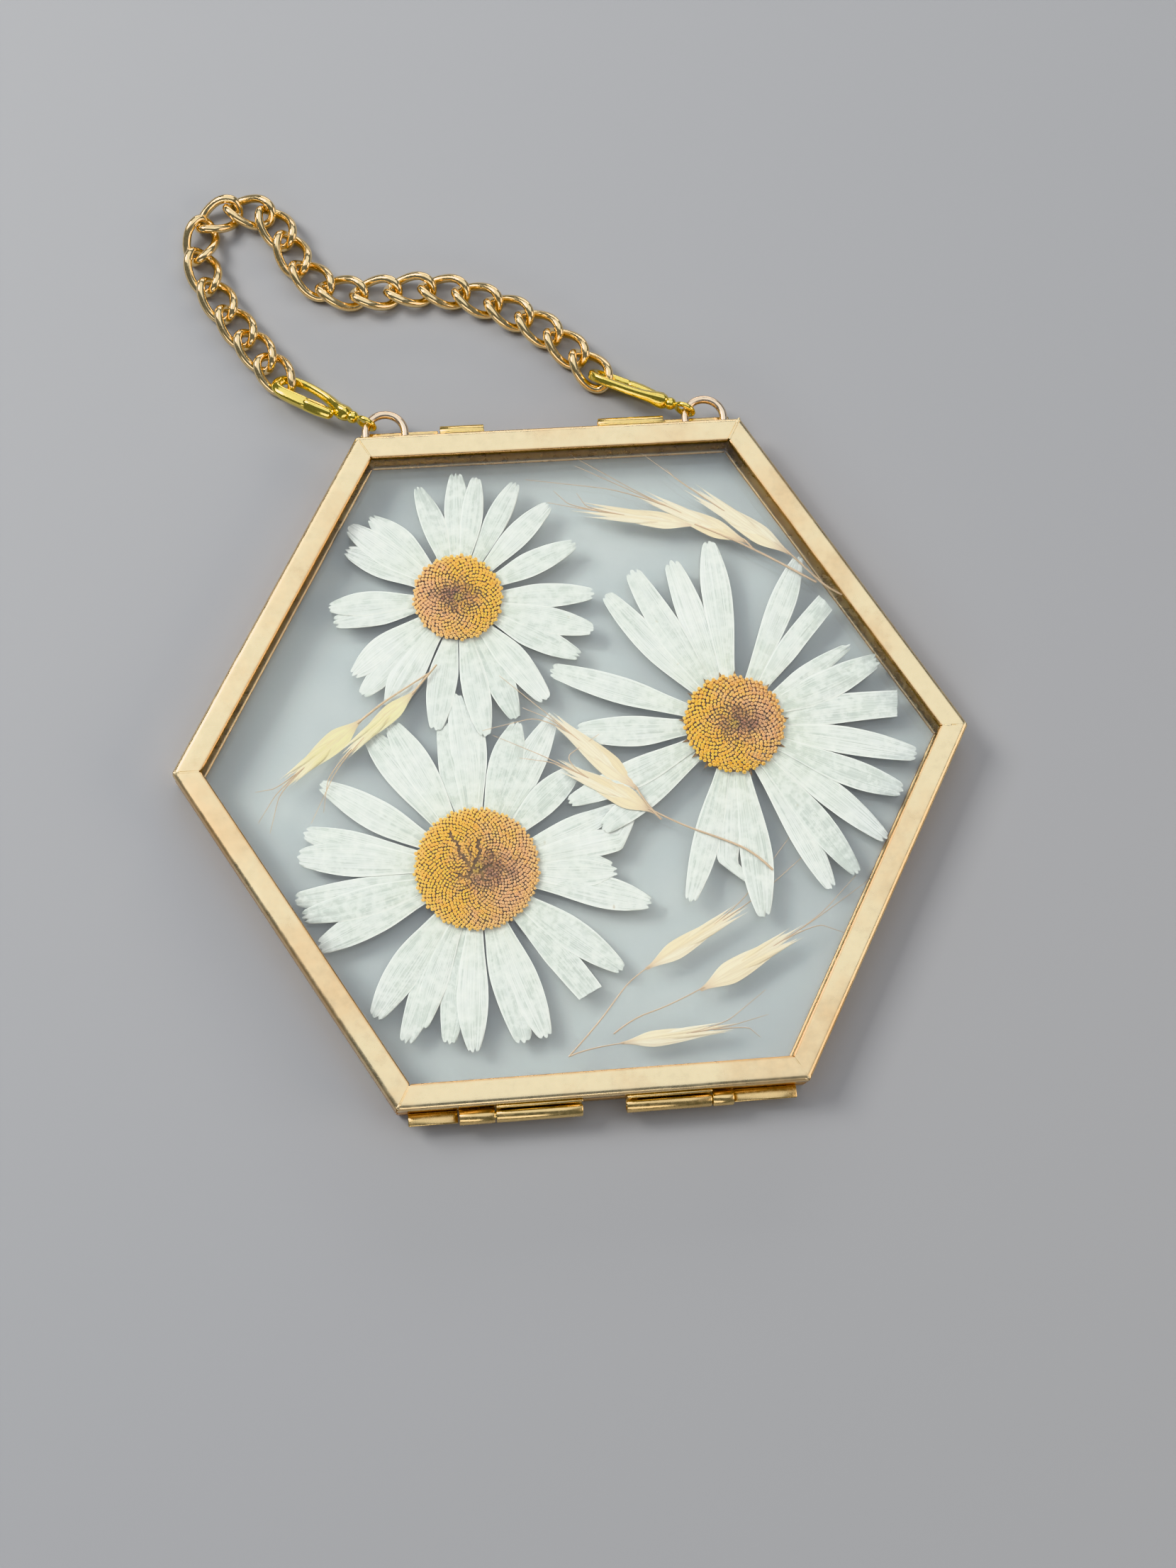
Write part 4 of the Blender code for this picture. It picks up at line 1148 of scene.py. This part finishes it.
def floret_tree():
    """A spiral of florets on a dome, drawn back from the cracks on both sides."""
    tree, given, gives = geometry_tree(
        "floret_spiral",
        [
            ("Count", "Int"), ("Disc Radius", "Float"), ("Dome Height", "Float"), ("Floret Size", "Float"),
            ("Middle", "Vector"), ("Seed", "Int"), ("Cracks", "Object"), ("Crack Width", "Float"),
            ("Finish", "Material"),
        ],
    )
    index = add_node(tree, "GeometryNodeInputIndex").outputs[0]
    share = calculate(tree, "DIVIDE", calculate(tree, "ADD", index, 0.5), given["Count"])
    ring = calculate(tree, "POWER", share, 0.55)
    reach = calculate(tree, "MULTIPLY", ring, given["Disc Radius"])
    angle = calculate(tree, "MULTIPLY", index, math.radians(GOLDEN_ANGLE))
    x = calculate(tree, "MULTIPLY", reach, calculate(tree, "COSINE", angle))
    y = calculate(tree, "MULTIPLY", reach, calculate(tree, "SINE", angle))
    drop = calculate(tree, "POWER", ring, 4.0)
    z = calculate(tree, "MULTIPLY", calculate(tree, "SUBTRACT", 1.0, drop), given["Dome Height"])
    spot = add_node(tree, "ShaderNodeCombineXYZ", {0: x, 1: y, 2: z}).outputs[0]
    stray = add_node(
        tree, "FunctionNodeRandomValue",
        {0: (-1, -1, -1), 1: (1, 1, 0.6), "Seed": given["Seed"]}, data_type="FLOAT_VECTOR",
    ).outputs[0]
    stray_reach = calculate(tree, "MULTIPLY", given["Floret Size"], 0.13)
    spot = vector_step(tree, "ADD", spot, vector_step(tree, "SCALE", stray, scale=stray_reach))
    spot = vector_step(tree, "ADD", spot, given["Middle"])
    points = add_node(tree, "GeometryNodePoints", {"Count": given["Count"], "Position": spot})
    cracks = add_node(tree, "GeometryNodeObjectInfo", {"Object": given["Cracks"]})
    near = add_node(tree, "GeometryNodeProximity", {0: cracks.outputs["Geometry"]}, target_element="EDGES")
    position = add_node(tree, "GeometryNodeInputPosition").outputs[0]
    away = vector_step(tree, "SUBTRACT", position, near.outputs["Position"])
    unit_away = vector_step(tree, "NORMALIZE", vector_step(tree, "MULTIPLY", away, (1, 1, 0)))
    fading = calculate(tree, "MULTIPLY", near.outputs["Distance"], 0.30)
    push = calculate(tree, "MAXIMUM", calculate(tree, "SUBTRACT", given["Crack Width"], fading), 0.0)
    shift = vector_step(tree, "SCALE", unit_away, scale=push)
    kept = add_node(tree, "GeometryNodeSetPosition", {"Geometry": points.outputs[0], "Offset": shift})
    jitter = add_node(
        tree, "FunctionNodeRandomValue", {2: 0.82, 3: 1.15, "Seed": given["Seed"]}, data_type="FLOAT",
    ).outputs[1]
    swell = calculate(tree, "ADD", 0.74, calculate(tree, "MULTIPLY", ring, 0.36))
    size = calculate(tree, "MULTIPLY", calculate(tree, "MULTIPLY", jitter, swell), given["Floret Size"])
    tilt = calculate(tree, "MULTIPLY", drop, 0.75)
    turn = add_node(tree, "ShaderNodeCombineXYZ", {1: tilt, 2: angle}).outputs[0]
    placed = add_node(
        tree, "GeometryNodeInstanceOnPoints",
        {"Points": kept.outputs[0], "Instance": given["Geometry"], "Rotation": turn, "Scale": size},
    )
    tone = add_node(
        tree, "FunctionNodeRandomValue", {2: 0.0, 3: 1.0, "Seed": given["Seed"]}, data_type="FLOAT",
    ).outputs[1]
    toned = add_node(
        tree, "GeometryNodeStoreNamedAttribute",
        {"Geometry": placed.outputs[0], "Name": "tone", "Value": tone}, data_type="FLOAT", domain="INSTANCE",
    )
    finish_tree(tree, gives, toned.outputs[0], given["Finish"])
    return tree


def floret_mesh():
    """One floret, a waisted bud with a dimpled top, one unit wide and a unit and a half tall."""
    work = bmesh.new()
    bud_layer = work.verts.layers.float.new("bud")
    corners = [math.tau * side / FLORET_SIDES for side in range(FLORET_SIDES)]
    rings = []
    for radius, z, bud in FLORET_RINGS:
        rings.append([(radius * math.cos(a), radius * math.sin(a), z) for a in corners])
    for ring, (radius, z, bud) in zip(join_outlines(work, rings), FLORET_RINGS):
        for vert in ring:
            vert[bud_layer] = bud
    bmesh.ops.recalc_face_normals(work, faces=work.faces)
    mesh = bpy.data.meshes.new("floret_pattern")
    work.to_mesh(mesh)
    work.free()
    mesh.shade_smooth()
    return mesh


def dark_tip_surface(base, tip, height):
    """A small flat pointed piece from base to tip."""
    along_vector = tip - base
    aside = Vector((-along_vector.y, along_vector.x, 0)).normalized() * DARK_TIP_WIDTH / 2

    def surface(along, across):
        return base + along_vector * along + aside * across * (1.04 - along) + Vector((0, 0, height))

    return surface


def about(tree, place, middle):
    """A place measured from a point in metres, without its height."""
    return mapped(tree, place, scale=(1.0, 1.0, 0.0), shift=-middle)


def disc_finish(name, middle, radius, faded_heading, brown, brown_reach, brown_turn):
    """Floret colours for one disc, laid out about its own middle, with painted shade on the florets' lower
    sides.
    """
    material, tree, shader = new_material(f"{name}_florets", 0.7)
    place = object_place(tree)
    faded_turn = (0, 0, -math.radians(faded_heading))
    turned = mapped(tree, about(tree, place, middle), faded_turn, (1 / radius,) * 3)
    across, aside, _ = add_node(tree, "ShaderNodeSeparateXYZ", {0: turned}).outputs
    ring = vector_length(tree, turned)
    tone = stored(tree, "tone")
    # yellow where the florets are fresh, peach on the faded side
    wander = spread(tree, noise_value(tree, turned, 2.6, 4.0, 0.65), 0.3, 0.7, -0.8, 0.8)
    faded = spread(tree, calculate(tree, "ADD", across, wander), -0.5, 0.7)
    yellow = mix_colour(tree, tone, (0.95, 0.64, 0.02, 1), (0.86, 0.44, 0.01, 1))
    peach = mix_colour(tree, tone, (0.86, 0.53, 0.24, 1), (0.70, 0.36, 0.15, 1))
    colour = mix_colour(tree, faded, yellow, peach)
    # the brown patch, an oval with a ragged edge
    brown_middle = Vector((middle.x + brown[0] * MM, middle.y + brown[1] * MM, 0))
    brown_axes = (0, 0, -math.radians(brown_turn))
    away = vector_length(tree, mapped(tree, about(tree, place, brown_middle), brown_axes, (1.0, 1.7, 1.0)))
    ragged = spread(tree, noise_value(tree, place, 900.0, 3.0), 0.3, 0.7, -0.0016, 0.0016)
    away = calculate(tree, "ADD", away, ragged)
    away = calculate(tree, "ADD", away, calculate(tree, "MULTIPLY", tone, 0.0012))
    browned = spread(tree, away, brown_reach * MM * 0.30, brown_reach * MM * 1.25, 0.88, 0.0)
    # dark clefts round the middle, an olive middle and a lighter rim
    angle = calculate(tree, "MULTIPLY", calculate(tree, "ARCTAN2", aside, across), 2.2)
    rays = add_node(tree, "ShaderNodeCombineXYZ", {0: angle, 1: ring}).outputs[0]
    clefts = spread(tree, noise_value(tree, rays, 5.0, 2.0), 0.50, 0.60, 0.0, 0.85)
    clefts = calculate(tree, "MULTIPLY", clefts, spread(tree, ring, 0.30, 0.60, 1.0, 0.0))
    colour = layered(tree, colour, [
        (browned, (0.22, 0.09, 0.06)),
        (clefts, (0.16, 0.05, 0.02)),
        (spread(tree, ring, 0.07, 0.13, 0.8, 0.0), (0.45, 0.30, 0.03)),
        (spread(tree, ring, 0.80, 0.98, 0.0, 0.5), (0.93, 0.62, 0.14)),
    ])
    # painted shade between the florets: deep brown on their lower sides, where the bud value is low
    floret_gap_shade = mix_colour(tree, 0.9, colour, (0.22, 0.06, 0.01, 1))
    colour = mix_colour(tree, spread(tree, stored(tree, "bud"), 0.20, 0.85, 1.0, 0.0), colour, floret_gap_shade)
    tree.links.new(colour, shader.inputs["Base Color"])
    grain = noise_value(tree, place, 2600.0, 2.0)
    add_relief(tree, shader, grain, 0.5, 0.00004)
    tree.links.new(spread(tree, grain, 0.3, 0.7, 0.55, 0.85), shader.inputs["Roughness"])
    return material


receptacle_finish, tree, shader = new_material("receptacle_brown", 0.85)
cloud = noise_value(tree, object_place(tree), 900.0, 3.0)
brown = mix_colour(tree, spread(tree, cloud, 0.35, 0.65), (0.10, 0.05, 0.02, 1), (0.26, 0.14, 0.03, 1))
tree.links.new(brown, shader.inputs["Base Color"])

crack_mesh = bpy.data.meshes.new("crack_lines")
crack_lines = bpy.data.objects.new("crack_lines", crack_mesh)
bpy.context.scene.collection.objects.link(crack_lines)
spiral = floret_tree()
for name, colours in DISCS.items():
    low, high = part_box(f"{name}_disc")
    middle = Vector(((low.x + high.x) / 2, (low.y + high.y) / 2, 0))
    radius = (high.x - low.x) / 2
    size = colours["spacing"] * MM
    floret_height = 0.55 * size
    base_z = low.z + 0.9 * size
    dome = high.z - base_z - floret_height
    crack_points = []
    crack_edges = []
    if name == "daisy_large":
        crack_height = Vector((0, 0, high.z - floret_height))
        for run in CRACKS:
            first = len(crack_points)
            crack_points += [middle + Vector((x, y, 0)) * MM + crack_height for x, y in run]
            crack_edges += [(first + step, first + step + 1) for step in range(len(run) - 1)]
    crack_mesh.clear_geometry()
    crack_mesh.from_pydata(crack_points, crack_edges, [])
    florets = bpy.data.objects.new(f"{name}_florets", floret_mesh())
    bpy.context.scene.collection.objects.link(florets)
    run_tree(florets, spiral, {
        "Count": round(FLORET_DENSITY * (radius / size) ** 2 * math.pi),
        "Disc Radius": radius - 0.35 * size, "Dome Height": dome, "Floret Size": size * FLORET_FULLNESS,
        "Middle": middle + Vector((0, 0, base_z)), "Seed": colours["seed"], "Cracks": crack_lines,
        "Crack Width": CRACK_WIDTH * MM if crack_points else 0.0,
        "Finish": disc_finish(
            name, middle, radius, colours["faded_heading"],
            colours["brown"], colours["brown_reach"], colours["brown_turn"],
        ),
    })
    florets.data.shade_smooth()
    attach(florets, "back_leaf")
    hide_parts(f"{name}_disc")
    middle_mm = (middle - HEXAGON_CENTRE) / MM
    rise = (dome + 0.5 * size) / MM
    rings = []
    turns = [math.tau * step / SEAT_STEPS for step in range(SEAT_STEPS)]
    for part, lift in SEAT_RINGS:
        reach = part * radius / MM
        z = low.z / MM + 0.02 + lift * rise
        rings.append([middle_mm + Vector((reach * math.cos(t), reach * math.sin(t), z)) for t in turns])
    work = bmesh.new()
    join_outlines(work, rings)
    # small dark brown pointed tips round the right daisy's disc, showing between its petals
    for heading in DARK_TIP_HEADINGS if name == "daisy_right" else ():
        out = heading_axes(heading)[0]
        base = middle_mm + out * (radius / MM - 0.3)
        surface = dark_tip_surface(base, base + out * DARK_TIP_LENGTH, low.z / MM + 0.1)
        add_leaf(work, surface, 5, 2, 0.08, 0.0)
    receptacle = make_piece(f"{name}_receptacle", work, receptacle_finish)
    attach(receptacle, "back_leaf")
bpy.data.objects.remove(crack_lines)

# ---------------------------------------------------------------------------------------------
# Dry grass
# Six sprigs of dry wild grass: hair-thin stems, and spikelets of long pointed papery scales with
# finer hairs, the awns, that trail from their tips.
# ---------------------------------------------------------------------------------------------
SCALE_THICKNESS = 0.05
SCALE_ROWS = 16
SCALE_COLUMNS = 6
SCALE_FULLNESS = 1.3
AWN_RADIUS = 0.085
STEM_RADIUS = 0.24
GRASSES = {
    # stems are runs of points; a spikelet is its base, tip and width and where its awns end
    "grass_top_pair": dict(
        green=0.0,
        stems=[
            [(20.5, 33.6), (24.0, 31.9), (28.0, 29.7), (33.0, 26.6), (37.5, 23.6)],
            [(27.6, 30.8), (28.8, 29.2)],
        ],
        spikelets=[
            ((21.0, 33.4), (2.6, 37.2), 2.6, [(-1.0, 38.2), (0.0, 40.0), (3.4, 39.4)]),
            ((28.0, 30.4), (12.2, 39.0), 3.0, [(3.0, 45.5), (3.5, 43.8), (-4.0, 42.0)]),
        ],
    ),
    "grass_top_single": dict(
        green=0.0,
        stems=[[(33.8, 28.6), (36.2, 26.0), (38.8, 22.8), (41.2, 21.4)]],
        spikelets=[((34.2, 28.2), (19.8, 39.6), 3.0, [(13.5, 45.3), (17.0, 42.6)])],
    ),
    "grass_left": dict(
        green=1.0,
        stems=[
            [(-19.0, 14.2), (-20.6, 12.4), (-22.6, 10.2)],
            [(-20.2, 13.0), (-24.0, 10.8), (-27.4, 8.8), (-30.6, 6.3)],
        ],
        spikelets=[
            ((-22.2, 10.6), (-34.0, 0.6), 2.6, [(-38.0, -8.0), (-36.2, -6.5)]),
            ((-30.2, 6.7), (-42.2, -2.6), 3.2, [(-45.4, -7.5), (-45.6, -3.0), (-43.8, -9.0)]),
        ],
    ),
    "grass_centre": dict(
        green=0.0,
        stems=[
            [(8.2, -5.6), (9.6, -8.6), (11.4, -10.6)],
            [(9.8, -9.0), (14.0, -11.6), (20.2, -14.2), (24.4, -16.4), (26.6, -19.0)],
        ],
        spikelets=[
            ((8.4, -6.0), (-3.8, 6.2), 3.2, [(-10.0, 12.0), (-7.0, 7.0), (-13.0, 4.0)]),
            ((10.6, -9.6), (-3.2, -1.0), 3.2, [(-11.6, 3.2), (-8.0, -0.4), (3.6, 2.4)]),
        ],
    ),
    "grass_bottom_pair": dict(
        green=0.0,
        stems=[
            [(7.8, -31.6), (5.2, -33.2), (3.2, -35.4), (0.0, -39.2), (-4.2, -43.2)],
            [(3.4, -42.0), (-1.6, -42.3), (-4.3, -43.3)],
        ],
        spikelets=[
            ((7.4, -31.9), (23.0, -23.6), 2.8, [(30.0, -14.0), (33.0, -16.0)]),
            ((3.0, -42.0), (19.4, -40.8), 2.2, [(24.0, -39.5), (24.0, -36.0), (22.6, -42.6)]),
        ],
    ),
    "grass_bottom_single": dict(
        green=0.0,
        stems=[[(15.4, -35.0), (10.0, -37.4), (5.0, -38.6), (2.2, -40.6)]],
        spikelets=[((14.8, -35.4), (30.4, -27.6), 3.2, [(41.0, -21.0), (36.0, -28.7), (38.6, -20.6)])],
    ),
}
# where a scale starts and ends along its spikelet, its width, and how far it turns aside in degrees
SCALES = [
    (0.00, 0.90, 0.70, -2.0), (0.01, 0.84, 0.66, 2.4), (0.08, 0.97, 0.46, -0.8), (0.13, 1.00, 0.40, 1.0),
    (0.28, 0.95, 0.26, -3.0), (0.32, 0.90, 0.24, 3.4),
]


def build_straw_finish():
    """Dry grass: straw and cream, pinkish brown at the base of a scale, with long fibres."""
    material, tree, shader = new_material("dry_grass", 0.55)
    place = add_node(tree, "ShaderNodeTexCoord").outputs
    fibres = noise_value(tree, mapped(tree, place["UV"], scale=(1.2, 18.0, 1.0)), 1.3, 3.0)
    along = add_node(tree, "ShaderNodeSeparateXYZ", {0: place["UV"]}).outputs[0]
    body = mix_colour(tree, stored(tree, "tone"), (0.74, 0.63, 0.42, 1), (0.84, 0.79, 0.65, 1))
    body = layered(tree, body, [
        (calculate(tree, "MULTIPLY", stored(tree, "green"), 0.6), (0.58, 0.56, 0.22)),
        (spread(tree, along, 0.45, 0.95, 0.0, 0.7), (0.86, 0.83, 0.74)),
        (spread(tree, along, 0.0, 0.22, 0.8, 0.0), (0.42, 0.26, 0.18)),
        (spread(tree, fibres, 0.44, 0.60, 0.6, 0.0), (0.44, 0.33, 0.21)),
    ])
    tree.links.new(body, shader.inputs["Base Color"])
    tree.links.new(spread(tree, fibres, 0.3, 0.7, 0.4, 0.65), shader.inputs["Roughness"])
    add_relief(tree, shader, fibres, 0.6, 0.00005)
    return material


def scale_surface(base, tip, width, height):
    """One pointed, keeled scale."""
    along_vector = tip - base
    aside = Vector((-along_vector.y, along_vector.x, 0)).normalized()

    def surface(along, across):
        wide = (0.16 + 0.84 * smooth_step(along, 0.0, 0.34)) * (1 - smooth_step(along, 0.30, 1.05))
        wide = max(wide, 0.03)
        keel = 0.16 * (1 - abs(across)) * wide
        sideways = aside * (across * wide * width / 2)
        return base + along_vector * along + sideways + Vector((0, 0, height + keel))

    return surface


straw_finish = build_straw_finish()
for name, sprig in GRASSES.items():
    low_z, high_z = (corner.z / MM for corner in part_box(name))
    middle_z = (low_z + high_z) / 2
    draw = random.Random(name)
    work = bmesh.new()
    tone_layer = work.verts.layers.float.new("tone")
    work.loops.layers.uv.verify()
    stem_radius = min(STEM_RADIUS, (high_z - low_z) / 2.2)
    for stem in sprig["stems"]:
        run = [(x, y, middle_z) for x, y in stem]
        if len(run) > 2:
            run = spline_run(run, 5)
        radii = [stem_radius * (0.7 + 0.3 * step / len(run)) for step in range(len(run))]
        add_tube(work, run, radii, 8)
    for base, tip, width, awns in sprig["spikelets"]:
        base = Vector((*base, 0))
        tip = Vector((*tip, 0))
        for number, (start, end, wide, aside) in enumerate(SCALES):
            turned = Matrix.Rotation(math.radians(aside + draw.uniform(-1, 1)), 3, "Z") @ (tip - base)
            scale_height = low_z + 0.04 + (high_z - low_z - 0.14) * number / len(SCALES) * 0.7
            scale_width = width * wide * SCALE_FULLNESS
            surface = scale_surface(base + turned * start, base + turned * end, scale_width, scale_height)
            add_leaf(work, surface, SCALE_ROWS, SCALE_COLUMNS, SCALE_THICKNESS, draw.random())
        for awn in awns:
            end = Vector((*awn, middle_z))
            root = base + (tip - base) * draw.uniform(0.55, 0.85) + Vector((0, 0, middle_z))
            bend = root + (tip - base) * 0.25 + (end - root) * 0.1
            run = spline_run([root, bend, (bend + end) / 2, end], 6)
            radii = [AWN_RADIUS * (1 - 0.6 * step / len(run)) for step in range(len(run))]
            add_tube(work, run, radii, 5)
    green_layer = work.verts.layers.float.new("green")
    for vert in work.verts:
        vert[green_layer] = sprig["green"]
    grass = make_piece(f"{name}_sprig", work, straw_finish, 75)
    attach(grass, "back_leaf")
    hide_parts(name)
